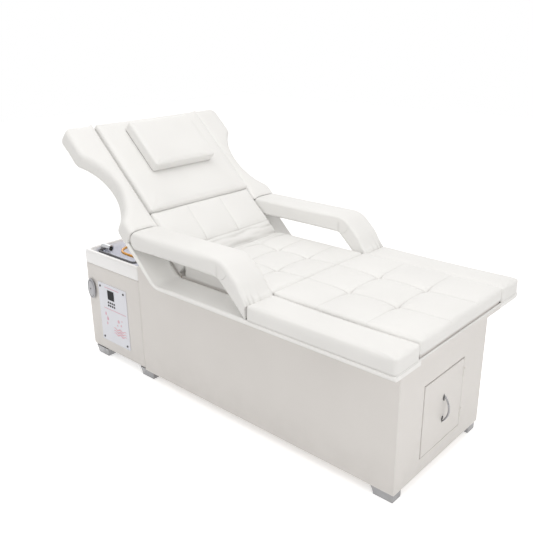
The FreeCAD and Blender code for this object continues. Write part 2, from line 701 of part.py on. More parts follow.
nodes["back_hinge_pin"] = rod_y(XA, LEDGE_Z, HINGE_PIN_R, -pin_half, pin_half)

# Back lever and drive
back_half_span = math.radians(REST_DEG + UP_DEG) / 2
back_off = back_half_span - math.radians(UP_DEG)
back_pin_x = XA - BACK_LEVER_R * math.sin(back_off)
back_pin_z = LEDGE_Z - BACK_LEVER_R * math.cos(back_off)
back_rise = BACK_LEVER_R * (1 - math.cos(back_half_span)) / 2
back_travel = 2 * BACK_LEVER_R * math.sin(back_half_span)
back_retract = BACK_LEVER_R * (math.sin(back_off) + math.sin(back_half_span))
nodes["back_lever"] = crank(on_back(BACK_LEVER_FOOT[1], -BACK_BOARD_T),
                            on_back(BACK_LEVER_FOOT[0], -BACK_BOARD_T), back_pin_x, back_pin_z, BACK_LEVER_Y)
nodes["back_motor"], nodes["back_rod"] = drive(back_pin_x, LEDGE_Z - BACK_LEVER_R + back_rise, back_rise,
                                               BACK_LEVER_Y, -1, back_travel, back_retract)

# Armrests
lug_y1 = -ARM_INNER - LUG_IN
lug_y0 = lug_y1 - LUG_T
pin_y0 = (lug_y0 + lug_y1 - LUG_PIN_L) / 2
arm_low, arm_high = BZ - ARM_HALF, BZ + ARM_HALF
arm_side = Part.Wire([line(V(BX, -HALF, arm_high), V(CX, -HALF, arm_high)),
                      arc(V(CX, -HALF, arm_high), V(CX + ARM_HALF, -HALF, BZ), V(CX, -HALF, arm_low)),
                      line(V(CX, -HALF, arm_low), V(BX, -HALF, arm_low)),
                      arc(V(BX, -HALF, arm_low), V(BX - ARM_HALF, -HALF, BZ), V(BX, -HALF, arm_high))])
arm = Part.Face(arm_side).extrude(V(0, HALF - ARM_INNER, 0))
arm = arm.makeFillet(ARM_ROUND, [e for e in arm.Edges if e.BoundBox.YLength < TINY])
slot_y0, slot_y1 = lug_y0 - LUG_SLOT_GAP, lug_y1 + LUG_SLOT_GAP
arm = arm.cut([rod_y(BX, BZ, LUG_SLOT_R, slot_y0, slot_y1),
               box(BX - LUG_SLOT_REAR, BX + LUG_SLOT_R, slot_y0, slot_y1, BZ - ARM_T, BZ),
               rod_y(BX, BZ, LUG_PIN_R + PIN_CLEAR, pin_y0 - SKIN, -ARM_INNER + OVER)])
nodes["armrest_right"] = arm
nodes["armrest_left"] = mirror(arm)

lug_x, lug_z = XA - ARM_REACH, LEDGE_Z + ARM_M
lug = lever_plate((lug_x - LUG_HALF, LEDGE_Z), (lug_x + LUG_HALF, LEDGE_Z), (lug_x, lug_z), LUG_EYE_R,
                  lug_y0, lug_y1)
lug = lug.fuse(rod_y(lug_x, lug_z, LUG_PIN_R, pin_y0, -ARM_INNER - LUG_PIN_SHORT)).removeSplitter()
nodes["arm_lug_right"] = tip_back(lug)
nodes["arm_lug_left"] = tip_back(mirror(lug))

# Armrest front legs, built folded on the ledge, swung up, and trimmed to clear the ledge and side pad
arm_leg = box(XD - ARM_REACH + ARM_LEG_SHORT, XD + 2 * ARM_T, -HALF, -ARM_INNER,
              LEDGE_Z + SKIN, LEDGE_Z + 2 * ARM_M - SKIN)
arm_leg = arm_leg.makeFillet(ARM_ROUND, [e for e in arm_leg.Edges if e.BoundBox.XLength > ARM_T])
joint_x, joint_z = XD - ARM_REACH, LEDGE_Z + ARM_M
arm_bar = box(joint_x - ARM_REACH, joint_x, -HALF - OVER, -ARM_INNER + OVER, joint_z - ARM_M, joint_z + ARM_M)
arm_bar.rotate(V(joint_x, 0, joint_z), Y_AXIS, -REST_DEG - UP_DEG - ARM_SPARE_DEG)
arm_leg = arm_leg.cut([rod_y(joint_x, joint_z, ARM_M, -HALF - OVER, -ARM_INNER + OVER), arm_bar])
arm_leg.rotate(V(XD, 0, LEDGE_Z), Y_AXIS, REST_DEG)
lean = math.tan(math.radians(UP_DEG + ARM_SPARE_DEG))
front_x = XD + ARM_LEG_FRONT
sole_z = LEDGE_Z + SKIN
high = LINK_Z + ARM_T
trim = prism_xz([(XD - ARM_REACH, sole_z), (XD, sole_z), (front_x, sole_z + ARM_LEG_FRONT * lean),
                 (front_x - high * lean, sole_z + high), (XD - ARM_REACH, sole_z + high)],
                -HALF - OVER, -ARM_INNER + OVER)
arm_leg = arm_leg.common(trim)
arm_leg = arm_leg.cut(rod_y(XD, LEDGE_Z, ARM_PIN_R + PIN_CLEAR, -HALF - OVER, -ARM_INNER + OVER))
nodes["arm_leg_right"] = arm_leg
nodes["arm_leg_left"] = mirror(arm_leg)

# Basin cabinet
drain_x = XH + DRAIN_FROM_HEAD
trap_z = BASIN_FLOOR_Z - TRAP_DROP
knob_x = XH + KNOB_FROM_HEAD
wall_in = BASE_HALF - TANK_WALL
bed = FOOT_HEIGHT + TANK_WALL
stub_x = [drain_x + STUB_PITCH, drain_x + 2 * STUB_PITCH]
stub_z = trap_z + STUB_PITCH
inlet_x = drain_x - 2 * STUB_PITCH
shell = box(XH, XT, -BASE_HALF, BASE_HALF, FOOT_HEIGHT, RIM_Z0)
shell = shell.cut(box(XH + TANK_WALL, XT - TANK_WALL, -wall_in, wall_in, bed, RIM_Z0 + OVER))
shell = shell.cut(rod_y(knob_x, KNOB_Z, SPINDLE_R + PIN_CLEAR, -BASE_HALF - OVER, -wall_in + OVER))
far_cuts = [rod_y(drain_x, trap_z, TRAP_R, wall_in - OVER, BASE_HALF + OVER),
            box(inlet_x, inlet_x + INLET_W, wall_in - OVER, BASE_HALF + OVER, trap_z, trap_z + INLET_H)]
far_cuts += [rod_y(x, stub_z, STUB_NECK_R, wall_in - OVER, BASE_HALF + OVER) for x in stub_x]
nodes["tank_shell"] = shell.cut(far_cuts)

in_x0, in_x1, in_y = XH + RIM_W, XT - RIM_W, BASE_HALF - RIM_W
rim = box(XH, XT, -BASE_HALF, BASE_HALF, RIM_Z0, RIM_Z1)
bowl = box(in_x0 - BASIN_WALL, in_x1 + BASIN_WALL, -in_y - BASIN_WALL, in_y + BASIN_WALL,
           BASIN_FLOOR_Z - BASIN_WALL, RIM_Z0)
bowl = bowl.makeFillet(BASIN_CORNER + BASIN_WALL, upright_edges(bowl))
hollow = box(in_x0, in_x1, -in_y, in_y, BASIN_FLOOR_Z, RIM_Z1 + OVER)
hollow = hollow.makeFillet(BASIN_CORNER, upright_edges(hollow))
drain = rod_z(drain_x, 0, DRAIN_R, BASIN_FLOOR_Z - BASIN_WALL - OVER, BASIN_FLOOR_Z + OVER)
nodes["basin"] = rim.fuse(bowl).removeSplitter().cut([hollow, drain])

strainer_top = BASIN_FLOOR_Z + STRAINER_T
holes = [rod_z(drain_x, 0, STRAINER_HOLE_R, BASIN_FLOOR_Z - OVER, strainer_top + OVER)]
for i in range(STRAINER_HOLES):
    turn = i * 2 * math.pi / STRAINER_HOLES
    hole_x = drain_x + STRAINER_RING_R * math.cos(turn)
    hole_y = STRAINER_RING_R * math.sin(turn)
    holes.append(rod_z(hole_x, hole_y, STRAINER_HOLE_R, BASIN_FLOOR_Z - OVER, strainer_top + OVER))
nodes["drain_strainer"] = rod_z(drain_x, 0, DRAIN_R + STRAINER_LIP, BASIN_FLOOR_Z, strainer_top).cut(holes)

trap_path = bent([V(drain_x, 0, BASIN_FLOOR_Z), V(drain_x, 0, trap_z),
                  V(drain_x, BASE_HALF + SPIGOT_OUT, trap_z)], TRAP_BEND)
neck_y = BASE_HALF + SPIGOT_NECK
neck = rod_y(drain_x, trap_z, TRAP_R + OVER, BASE_HALF, neck_y)
neck = neck.cut(rod_y(drain_x, trap_z, TRAP_R - SPIGOT_NECK_IN, BASE_HALF, neck_y))
nodes["drain_trap"] = tube(trap_path, TRAP_R).cut([tube(trap_path, TRAP_R - TRAP_WALL), neck])

# Units inside the basin cabinet
heater_y = -wall_in + BOX_W + HEATER_GAP + HEATER_R
heater_x0, heater_x1 = drain_x - HEATER_L / 2, drain_x + HEATER_L / 2
nodes["water_heater"] = rod_x(heater_y, bed + HEATER_R, HEATER_R, heater_x0, heater_x1)
pump_x = XT - TANK_WALL - PUMP_FROM_END - PUMP_L
pump_y = wall_in - PUMP_GAP
nodes["pump"] = box(pump_x, pump_x + PUMP_L, pump_y - PUMP_W, pump_y, bed, bed + PUMP_H)
panel_x0 = XH + PANEL_FROM_HEAD
box_x, box_z = panel_x0 + BOX_IN, PANEL_Z0 + BOX_UP
nodes["control_box"] = box(box_x, box_x + BOX_L, -wall_in, -wall_in + BOX_W, box_z, box_z + BOX_H)
stubs = []
for x in stub_x:
    stub_root = rod_y(x, stub_z, STUB_NECK_R, wall_in - STUB_IN, BASE_HALF + STUB_NECK)
    stubs.append(stub_root.fuse(rod_y(x, stub_z, STUB_R, BASE_HALF + STUB_NECK, BASE_HALF + STUB_OUT)))
nodes["inlet_stubs"] = Part.makeCompound(stubs)
nodes["power_inlet"] = box(inlet_x, inlet_x + INLET_W, wall_in - INLET_IN, BASE_HALF + INLET_OUT,
                           trap_z, trap_z + INLET_H)

# Panel on the near side
skin_y = -BASE_HALF
face_y = skin_y - PANEL_T
panel_top = PANEL_Z0 + PANEL_H
nodes["panel_plate"] = box(panel_x0, panel_x0 + PANEL_W, face_y, skin_y, PANEL_Z0, panel_top)
screws = []
for x in (panel_x0 + SCREW_INSET, panel_x0 + PANEL_W - SCREW_INSET):
    for z in (PANEL_Z0 + SCREW_INSET, panel_top - SCREW_INSET):
        screws.append(rod_y(x, z, SCREW_R, face_y - SCREW_H, face_y))
nodes["panel_screws"] = Part.makeCompound(screws)
keys_x = panel_x0 + PANEL_W / 2 - DISPLAY_OFF
nodes["display_window"] = box(keys_x - DISPLAY_W / 2, keys_x + DISPLAY_W / 2, face_y - DISPLAY_T, face_y,
                              panel_top - DISPLAY_DOWN - DISPLAY_H, panel_top - DISPLAY_DOWN)
keys = []
for column in range(KEY_COLUMNS):
    for row in range(KEY_ROWS):
        key_x = keys_x + (column - (KEY_COLUMNS - 1) / 2) * KEY_PITCH
        keys.append(rod_y(key_x, panel_top - KEY_DOWN - row * KEY_PITCH, KEY_R, face_y - KEY_H, face_y))
nodes["panel_keys"] = Part.makeCompound(keys)

# Oval turning knob
knob_back = skin_y - KNOB_OFF
knob_face = knob_back - KNOB_T
oval = Part.Ellipse(V(knob_x, knob_back, KNOB_Z + KNOB_HALF_H), V(knob_x + KNOB_HALF_W, knob_back, KNOB_Z),
                    V(knob_x, knob_back, KNOB_Z))
knob = Part.Face(Part.Wire(oval.toShape())).extrude(V(0, -KNOB_T, 0))
knob = knob.makeFillet(KNOB_ROUND, [e for e in knob.Edges if e.BoundBox.YMax < knob_face + TINY])
knob = knob.cut(rod_y(knob_x, KNOB_Z, SPINDLE_R, knob_face - OVER, knob_face + KNOB_DIMPLE))
knob = knob.fuse([rod_y(knob_x, KNOB_Z, KNOB_BOSS_R, knob_back, skin_y - SKIN),
                  rod_y(knob_x, KNOB_Z, SPINDLE_R, knob_back, -wall_in + SPINDLE_PAST)])
nodes["waste_knob"] = knob.removeSplitter()

# Tap on the head wall of the basin
tap_y = -in_y + TAP_FROM_WALL
tap_z = RIM_Z1 - TAP_BELOW_RIM
valve_x = in_x0 + TAP_L / 2
valve_z = tap_z - VALVE_DROP
neck_top = valve_z + LEVER_NECK_L
spout = rod_x(tap_y, tap_z, TAP_R, in_x0, in_x0 + TAP_L)
spout = spout.fuse([rod_x(tap_y, tap_z - TAP_R, TAP_FLANGE_R, in_x0, in_x0 + TAP_FLANGE_T),
                    rod_z(valve_x, tap_y, VALVE_R, valve_z, tap_z)])
spout = spout.cut([rod_x(tap_y, tap_z, TAP_BORE_R, in_x0 + TAP_L - TAP_BORE_D, in_x0 + TAP_L + OVER),
                   rod_z(valve_x, tap_y, LEVER_NECK_R + PIN_CLEAR, valve_z - OVER, neck_top + SKIN)])
nodes["tap_body"] = spout.removeSplitter()
hub_top = valve_z - SKIN
bar_z = hub_top - LEVER_HUB_H / 2
lever = rod_z(valve_x, tap_y, LEVER_HUB_R, hub_top - LEVER_HUB_H, hub_top)
lever = lever.fuse([rod_x(tap_y, bar_z, LEVER_BAR_R, valve_x, valve_x + LEVER_BAR_L),
                    rod_z(valve_x, tap_y, LEVER_NECK_R, bar_z, neck_top)])
nodes["tap_lever"] = lever.removeSplitter()

# Water tube over the basin and the hose that feeds it
halo_x = XH + HALO_FROM_HEAD
halo_y = in_y - HALO_FROM_WALL
halo_z = RIM_Z1 - HALO_BELOW_RIM
halo_path = bent([V(in_x1, -halo_y, halo_z), V(halo_x, -halo_y, halo_z), V(halo_x, halo_y, halo_z),
                  V(in_x1, halo_y, halo_z)], HALO_BEND)
nodes["halo_tube"] = tube(halo_path, HALO_R)
clip = rod_x(-halo_y, halo_z - CLIP_LOW, CLIP_R, in_x1 - CLIP_L, in_x1)
clip = clip.cut(rod_x(-halo_y, halo_z, HALO_R, in_x1 - CLIP_L - OVER, in_x1 + OVER))
nodes["halo_clips"] = Part.makeCompound([clip, mirror(clip)])
hose_y = -in_y + HOSE_FROM_WALL
hose_x = in_x1 - HOSE_END
hose_path = bent([V(valve_x, tap_y - VALVE_R, halo_z), V(valve_x, hose_y, halo_z), V(hose_x, hose_y, halo_z),
                  V(hose_x, -halo_y, halo_z)], HOSE_BEND)
nodes["tap_hose"] = tube(hose_path, HOSE_R).cut([nodes["tap_body"], nodes["halo_tube"]])

os.makedirs("parts", exist_ok=True)
for name, shape in nodes.items():
    shape.exportStep("parts/" + name + ".step")
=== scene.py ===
"""Reclining wash couch: upholstery, finishes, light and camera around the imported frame."""
import bmesh
import bpy
import json
import numpy as np
from math import atan2, cos, dist, exp, pi, radians, sin, sqrt, tan
from mathutils import Matrix, Vector, noise


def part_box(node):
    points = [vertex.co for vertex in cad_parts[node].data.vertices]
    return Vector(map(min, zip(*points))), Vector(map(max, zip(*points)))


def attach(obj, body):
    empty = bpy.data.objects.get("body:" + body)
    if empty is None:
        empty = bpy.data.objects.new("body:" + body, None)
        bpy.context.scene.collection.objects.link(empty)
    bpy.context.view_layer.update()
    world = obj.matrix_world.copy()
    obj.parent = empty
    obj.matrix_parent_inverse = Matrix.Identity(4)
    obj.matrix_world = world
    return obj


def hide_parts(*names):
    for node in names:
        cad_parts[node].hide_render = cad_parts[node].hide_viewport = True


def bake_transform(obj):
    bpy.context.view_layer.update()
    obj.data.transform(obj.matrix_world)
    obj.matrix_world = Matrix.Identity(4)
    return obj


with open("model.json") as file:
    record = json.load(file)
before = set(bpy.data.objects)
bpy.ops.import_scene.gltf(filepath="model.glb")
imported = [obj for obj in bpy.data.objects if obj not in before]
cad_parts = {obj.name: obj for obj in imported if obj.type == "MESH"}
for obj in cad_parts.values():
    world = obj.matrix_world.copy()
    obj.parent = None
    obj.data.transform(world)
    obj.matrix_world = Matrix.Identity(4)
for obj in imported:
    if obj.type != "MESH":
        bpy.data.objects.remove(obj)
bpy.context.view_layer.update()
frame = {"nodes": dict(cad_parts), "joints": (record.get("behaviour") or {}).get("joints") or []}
nodes = frame["nodes"]
joints = {joint["name"]: joint for joint in frame["joints"]}
scene = bpy.context.scene
MM = 0.001

# The back turns on this line; back pieces are shaped lying flat and then tipped up
recline = joints["back_recline"]
HINGE = Vector(recline["pos_m"])
LEAN = radians(-recline["range_deg"][0])
TIP = Matrix.Translation(HINGE) @ Matrix.Rotation(LEAN, 4, "Y") @ Matrix.Translation(-HINGE)


def flat_box(source):
    """Corners of a back node when the back lies flat."""
    lay = TIP.inverted()
    places = np.array([lay @ v.co for v in nodes[source].data.vertices])
    return Vector(places.min(axis=0)), Vector(places.max(axis=0))


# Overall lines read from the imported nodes
deck_low, deck_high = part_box("deck_board")
seat_low, seat_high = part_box("seat_pad")
skirt_low, skirt_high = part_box("base_side_near")
tank_low, tank_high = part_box("tank_shell")
rim_low, rim_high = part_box("basin")
panel_low, panel_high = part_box("panel_plate")
door_low, door_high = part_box("door")
LEDGE = deck_high.z
EDGE = deck_high.y
PAD_EDGE = seat_high.y


# Shader helpers
def feed(tree, socket, value):
    """Link an input to a socket, or set it to a plain value."""
    if isinstance(value, bpy.types.NodeSocket):
        tree.links.new(value, socket)
    else:
        socket.default_value = value


def node(tree, kind, links=(), **values):
    """Add a node, set its own values and feed its inputs."""
    made = tree.nodes.new(kind)
    for key, value in values.items():
        setattr(made, key, value)
    for name, value in dict(links).items():
        feed(tree, made.inputs[name], value)
    return made


def shader_group(name, inputs, outputs):
    """Start a shader node group; an input without a value is a place, and the rest are plain numbers."""
    tree = bpy.data.node_groups.new(name, "ShaderNodeTree")
    for label, value in inputs.items():
        if value is None:
            tree.interface.new_socket(label, in_out="INPUT", socket_type="NodeSocketVector")
        else:
            socket = tree.interface.new_socket(label, in_out="INPUT", socket_type="NodeSocketFloat")
            socket.default_value = value
    for label in outputs:
        tree.interface.new_socket(label, in_out="OUTPUT", socket_type="NodeSocketFloat")
    start = tree.nodes.new("NodeGroupInput")
    end = tree.nodes.new("NodeGroupOutput")
    return tree, start.outputs, end.inputs


def placed(tree, group, **links):
    """Place a node group in a material."""
    return node(tree, "ShaderNodeGroup", links, node_tree=group).outputs


def start_material(name):
    material = bpy.data.materials.new(name)
    material.use_nodes = True
    tree = material.node_tree
    return material, tree, tree.nodes["Principled BSDF"]


def object_place(tree):
    return node(tree, "ShaderNodeTexCoord").outputs["Object"]


def math_node(tree, operation, first, second):
    return node(tree, "ShaderNodeMath", {0: first, 1: second}, operation=operation).outputs[0]


def mix_colour(tree, factor, first, second):
    return node(tree, "ShaderNodeMix", {0: factor, 6: first, 7: second}, data_type="RGBA").outputs[2]


def remap(tree, value, low, high, new_low, new_high):
    links = {"Value": value, "From Min": low, "From Max": high, "To Min": new_low, "To Max": new_high}
    return node(tree, "ShaderNodeMapRange", links).outputs[0]


def noise_map(tree, place, scale, detail, distortion=0.0):
    links = {"Vector": place, "Scale": scale, "Detail": detail, "Distortion": distortion}
    return node(tree, "ShaderNodeTexNoise", links).outputs[0]


def drawn_lines(tree, stretch, detail, distortion=0.0):
    """Noise drawn out along one way of the object."""
    drawn = node(tree, "ShaderNodeMapping", {"Vector": object_place(tree), "Scale": stretch}).outputs[0]
    return noise_map(tree, drawn, 1.0, detail, distortion)


# Shared effects
def build_grain_group():
    """Leatherette: fine pebbles, soft wrinkles and slow changes of tone."""
    tree, given, result = shader_group(
        "leatherette_grain", {"Vector": None, "Pebble": 850.0}, ("Height", "Tone", "Crease"))
    place = given["Vector"]
    pebble = node(tree, "ShaderNodeTexVoronoi", {"Vector": place, "Scale": given["Pebble"]},
                  feature="DISTANCE_TO_EDGE")
    edges = remap(tree, pebble.outputs["Distance"], 0.0, 0.35, 0.0, 1.0)
    rough = math_node(tree, "MULTIPLY", noise_map(tree, place, 420.0, 3.0), 0.35)
    feed(tree, result["Height"], math_node(tree, "ADD", edges, rough))
    feed(tree, result["Tone"], noise_map(tree, place, 3.2, 2.0))
    feed(tree, result["Crease"], noise_map(tree, place, 26.0, 4.0, 1.6))
    return tree


def build_dust_group():
    """Dust that gathers near the floor and in broad patches."""
    tree, given, result = shader_group("floor_dust", {"Vector": None, "Reach": 0.16}, ("Mask",))
    parts = node(tree, "ShaderNodeSeparateXYZ", {"Vector": given["Vector"]})
    low = math_node(tree, "DIVIDE", parts.outputs[2], given["Reach"])
    fade = math_node(tree, "SUBTRACT", 1.0, low)
    fade.node.use_clamp = True
    spots = remap(tree, noise_map(tree, given["Vector"], 14.0, 5.0), 0.35, 0.75, 0.2, 1.0)
    feed(tree, result["Mask"], math_node(tree, "MULTIPLY", fade, spots))
    return tree


def build_smear_group():
    """Smears that change the gloss of hard surfaces, and fine specks."""
    tree, given, result = shader_group(
        "gloss_smear", {"Vector": None, "Scale": 9.0, "Low": 0.15, "High": 0.3}, ("Roughness", "Speck"))
    smear = noise_map(tree, given["Vector"], given["Scale"], 6.0, 0.8)
    feed(tree, result["Roughness"], remap(tree, smear, 0.3, 0.7, given["Low"], given["High"]))
    feed(tree, result["Speck"], noise_map(tree, given["Vector"], 700.0, 2.0))
    return tree


grain_group = build_grain_group()
dust_group = build_dust_group()
smear_group = build_smear_group()


# Finishes
# Colour and share of the painted shade in sewn lines, folds and crevices of the leatherette
PAINTED_SHADE_TINT, PAINTED_SHADE_SHARE = (0.40, 0.385, 0.36, 1), 0.42
HIDE_DUST, HIDE_DUST_SHARE, HIDE_DUST_REACH = (0.55, 0.53, 0.5, 1), 0.3, 0.2
HARD_DUST, HARD_DUST_SHARE, HARD_DUST_REACH = (0.3, 0.29, 0.27, 1), 0.35, 0.05


def surface(tree, shader, colour, roughness, height, strength, depth):
    """Feed a surface's colour, roughness and fine relief."""
    relief = node(tree, "ShaderNodeBump", {"Height": height, "Strength": strength, "Distance": depth})
    feed(tree, shader.inputs["Base Color"], colour)
    feed(tree, shader.inputs["Roughness"], roughness)
    feed(tree, shader.inputs["Normal"], relief.outputs[0])


def leatherette(name, colour, shade, roughness, wrinkle, dusty=False):
    """Sewn leatherette: grain, slow tone changes, and painted shade in sewn lines, folds and crevices from
    the piece's attribute.
    """
    material, tree, shader = start_material(name)
    place = object_place(tree)
    grain = placed(tree, grain_group, Vector=place)
    toned = mix_colour(tree, remap(tree, grain["Tone"], 0.3, 0.7, 0.0, 1.0), (*colour, 1), (*shade, 1))
    # Painted shade: the piece's attribute darkens the colour in the creases of sewn lines, folds and crevices
    painted_shade = node(tree, "ShaderNodeAttribute", attribute_name="painted_shade").outputs["Fac"]
    toned = mix_colour(tree, math_node(tree, "MULTIPLY", painted_shade, PAINTED_SHADE_SHARE), toned, PAINTED_SHADE_TINT)
    if dusty:
        dust = placed(tree, dust_group, Vector=place, Reach=HIDE_DUST_REACH)
        share = math_node(tree, "MULTIPLY", dust["Mask"], HIDE_DUST_SHARE)
        toned = mix_colour(tree, share, toned, HIDE_DUST)
    pebbles = math_node(tree, "MULTIPLY", grain["Height"], 0.12)
    height = math_node(tree, "ADD", pebbles, math_node(tree, "MULTIPLY", grain["Crease"], wrinkle))
    dull = remap(tree, grain["Crease"], 0.3, 0.7, roughness - 0.05, roughness + 0.07)
    shader.inputs["Specular IOR Level"].default_value = 0.42
    surface(tree, shader, toned, dull, height, 0.5, 1.2 * MM)
    return material


def hard_finish(name, colour, shade, low, high, metallic=0.0, coat=0.0, scale=9.0, bump=0.1, dusty=False,
                gloss=0.5):
    """Moulded plastic, paint or metal with smears and fine specks."""
    material, tree, shader = start_material(name)
    place = object_place(tree)
    smear = placed(tree, smear_group, Vector=place, Scale=scale, Low=low, High=high)
    toned = mix_colour(tree, remap(tree, smear["Roughness"], low, high, 0.0, 1.0), (*colour, 1), (*shade, 1))
    if dusty:
        dust = placed(tree, dust_group, Vector=place, Reach=HARD_DUST_REACH)
        share = math_node(tree, "MULTIPLY", dust["Mask"], HARD_DUST_SHARE)
        toned = mix_colour(tree, share, toned, HARD_DUST)
    shader.inputs["Metallic"].default_value = metallic
    shader.inputs["Coat Weight"].default_value = coat
    shader.inputs["Specular IOR Level"].default_value = gloss
    surface(tree, shader, toned, smear["Roughness"], smear["Speck"], bump, 0.4 * MM)
    return material


def brushed_metal(name, colour, shade, low, high, stretch):
    """Metal with fine lines drawn along one way."""
    material, tree, shader = start_material(name)
    lines = drawn_lines(tree, stretch, 4.0)
    toned = mix_colour(tree, lines, (*colour, 1), (*shade, 1))
    shader.inputs["Metallic"].default_value = 1.0
    surface(tree, shader, toned, remap(tree, lines, 0.3, 0.7, low, high), lines, 0.12, 0.4 * MM)
    return material


def ply_board(name, colour, shade):
    """Birch ply with its figure across the board."""
    material, tree, shader = start_material(name)
    figure = drawn_lines(tree, (60.0, 2.5, 60.0), 6.0, 1.2)
    toned = mix_colour(tree, remap(tree, figure, 0.3, 0.7, 0.0, 1.0), (*colour, 1), (*shade, 1))
    surface(tree, shader, toned, remap(tree, figure, 0.3, 0.7, 0.5, 0.7), figure, 0.15, 0.6 * MM)
    return material


def basin_finish(name, rim_colour, bowl_colour):
    """White moulded basin whose bowl is a cool grey, told apart by the bowl attribute."""
    material, tree, shader = start_material(name)
    smear = placed(tree, smear_group, Vector=object_place(tree), Scale=7.0, Low=0.12, High=0.24)
    inside = node(tree, "ShaderNodeAttribute", attribute_name="bowl").outputs["Fac"]
    toned = mix_colour(tree, inside, (*rim_colour, 1), (*bowl_colour, 1))
    shader.inputs["Coat Weight"].default_value = 0.35
    surface(tree, shader, toned, smear["Roughness"], smear["Speck"], 0.05, 0.4 * MM)
    return material


pad_hide = leatherette("pad_leatherette", (0.88, 0.875, 0.86), (0.84, 0.835, 0.82), 0.44, 0.5)
board_hide = leatherette(
    "board_leatherette", (0.815, 0.79, 0.765), (0.785, 0.76, 0.735), 0.46, 0.3, dusty=True)
# Lighter copy of the pad leatherette: painted light for the ledge that lies in shade under the armrests
brightened_ledge_hide = leatherette("brightened_ledge_leatherette", (0.95, 0.945, 0.93), (0.92, 0.915, 0.90), 0.44, 0.4)
# Near black leatherette for the strip under the pillow: painted shadow
painted_shadow_hide = leatherette("painted_shadow_leatherette", (0.20, 0.195, 0.19), (0.16, 0.155, 0.15), 0.5, 0.4)
cord_hide = leatherette("welt_leatherette", (0.86, 0.855, 0.84), (0.80, 0.795, 0.78), 0.42, 0.2)
thread = hard_finish(
    "sewing_thread", (0.80, 0.79, 0.77), (0.72, 0.71, 0.69), 0.55, 0.7, scale=300.0, bump=0.4)
basin_white = basin_finish("basin_plastic", (0.97, 0.97, 0.975), (0.765, 0.785, 0.855))
panel_white = hard_finish("panel_acrylic", (0.81, 0.825, 0.89), (0.78, 0.795, 0.865), 0.16, 0.28, coat=0.3)
chrome = hard_finish("chrome", (0.62, 0.63, 0.64), (0.52, 0.53, 0.55), 0.12, 0.24, metallic=1.0)
foot_chrome = hard_finish(
    "foot_chrome", (0.42, 0.42, 0.43), (0.28, 0.28, 0.29), 0.2, 0.36, metallic=1.0, dusty=True)
# Chrome with a darker colour for the handle: painted dark reflection
reflection_darkened_chrome = hard_finish("reflection_darkened_chrome", (0.36, 0.36, 0.37), (0.28, 0.28, 0.29), 0.14, 0.26, metallic=1.0)
dark_metal = hard_finish("dark_metal", (0.06, 0.06, 0.065), (0.10, 0.10, 0.10), 0.28, 0.42, metallic=0.6)
brass = hard_finish("brass_tube", (0.62, 0.31, 0.08), (0.50, 0.24, 0.05), 0.2, 0.34, metallic=1.0, scale=30.0)
rubber = hard_finish("black_rubber", (0.018, 0.018, 0.02), (0.035, 0.035, 0.036), 0.45, 0.62, bump=0.3)
hose_rubber = hard_finish("hose_rubber", (0.06, 0.06, 0.065), (0.09, 0.09, 0.095), 0.4, 0.55, bump=0.3)
grey_plastic = hard_finish("grey_plastic", (0.22, 0.22, 0.23), (0.27, 0.27, 0.28), 0.35, 0.5, bump=0.3)
glass_dark = hard_finish("display_glass", (0.010, 0.011, 0.014), (0.016, 0.017, 0.02), 0.38, 0.5, gloss=0.15)
ink = hard_finish("pink_ink", (0.72, 0.30, 0.40), (0.68, 0.36, 0.45), 0.3, 0.4)
pale_ink = hard_finish("pale_ink", (0.74, 0.42, 0.49), (0.72, 0.46, 0.53), 0.3, 0.4)
hinge_paint = hard_finish("hinge_paint", (0.80, 0.78, 0.75), (0.76, 0.74, 0.71), 0.4, 0.55, bump=0.3)
zinc = brushed_metal("zinc_steel", (0.56, 0.57, 0.58), (0.46, 0.47, 0.48), 0.3, 0.46, (900.0, 900.0, 60.0))
knob_metal = brushed_metal(
    "knob_metal", (0.40, 0.40, 0.415), (0.33, 0.33, 0.345), 0.3, 0.44, (700.0, 60.0, 700.0))
tank_metal = brushed_metal(
    "heater_steel", (0.60, 0.61, 0.62), (0.50, 0.51, 0.52), 0.22, 0.36, (60.0, 700.0, 700.0))
ply = ply_board("birch_ply", (0.62, 0.47, 0.30), (0.42, 0.29, 0.17))


# Mesh helpers
def add_mesh(name, mesh):
    obj = bpy.data.objects.new(name, mesh)
    scene.collection.objects.link(obj)
    return obj


def make_piece(name, points, faces, material):
    mesh = bpy.data.meshes.new(name)
    mesh.from_pydata([tuple(p) for p in points], [], [tuple(f) for f in faces])
    mesh.materials.append(material)
    mesh.shade_smooth()
    return add_mesh(name, mesh)


def mirrored(obj, name):
    """The same piece on the far side."""
    twin = add_mesh(name, obj.data.copy())
    twin.data.name = name
    twin.data.transform(Matrix.Scale(-1, 4, (0, 1, 0)))
    twin.data.flip_normals()
    return twin


def bake(obj):
    """Turn a piece and its modifiers into a plain mesh."""
    bpy.context.view_layer.update()
    depsgraph = bpy.context.evaluated_depsgraph_get()
    mesh = bpy.data.meshes.new_from_object(obj.evaluated_get(depsgraph), depsgraph=depsgraph)
    obj.modifiers.clear()
    old = obj.data
    obj.data = mesh
    bpy.data.meshes.remove(old)
    mesh.name = obj.name


def modify(obj, kind, **values):
    """Put a piece through one modifier."""
    made = obj.modifiers.new(kind.lower(), kind)
    for key, value in values.items():
        setattr(made, key, value)
    bake(obj)


def subdivide(obj):
    modify(obj, "SUBSURF", levels=1, render_levels=1)


def round_edges(obj, width, segments):
    """Round the edges of a hard piece and keep its broad faces flat in the light."""
    modify(obj, "BEVEL", width=width, segments=segments, limit_method="ANGLE", angle_limit=radians(35),
           harden_normals=False)
    obj.data.shade_smooth()
    modify(obj, "WEIGHTED_NORMAL")


def coords(obj):
    values = np.empty(len(obj.data.vertices) * 3)
    obj.data.vertices.foreach_get("co", values)
    return values.reshape(-1, 3)


def set_coords(obj, values):
    obj.data.vertices.foreach_set("co", np.ascontiguousarray(values, dtype=np.float64).ravel())
    obj.data.update()


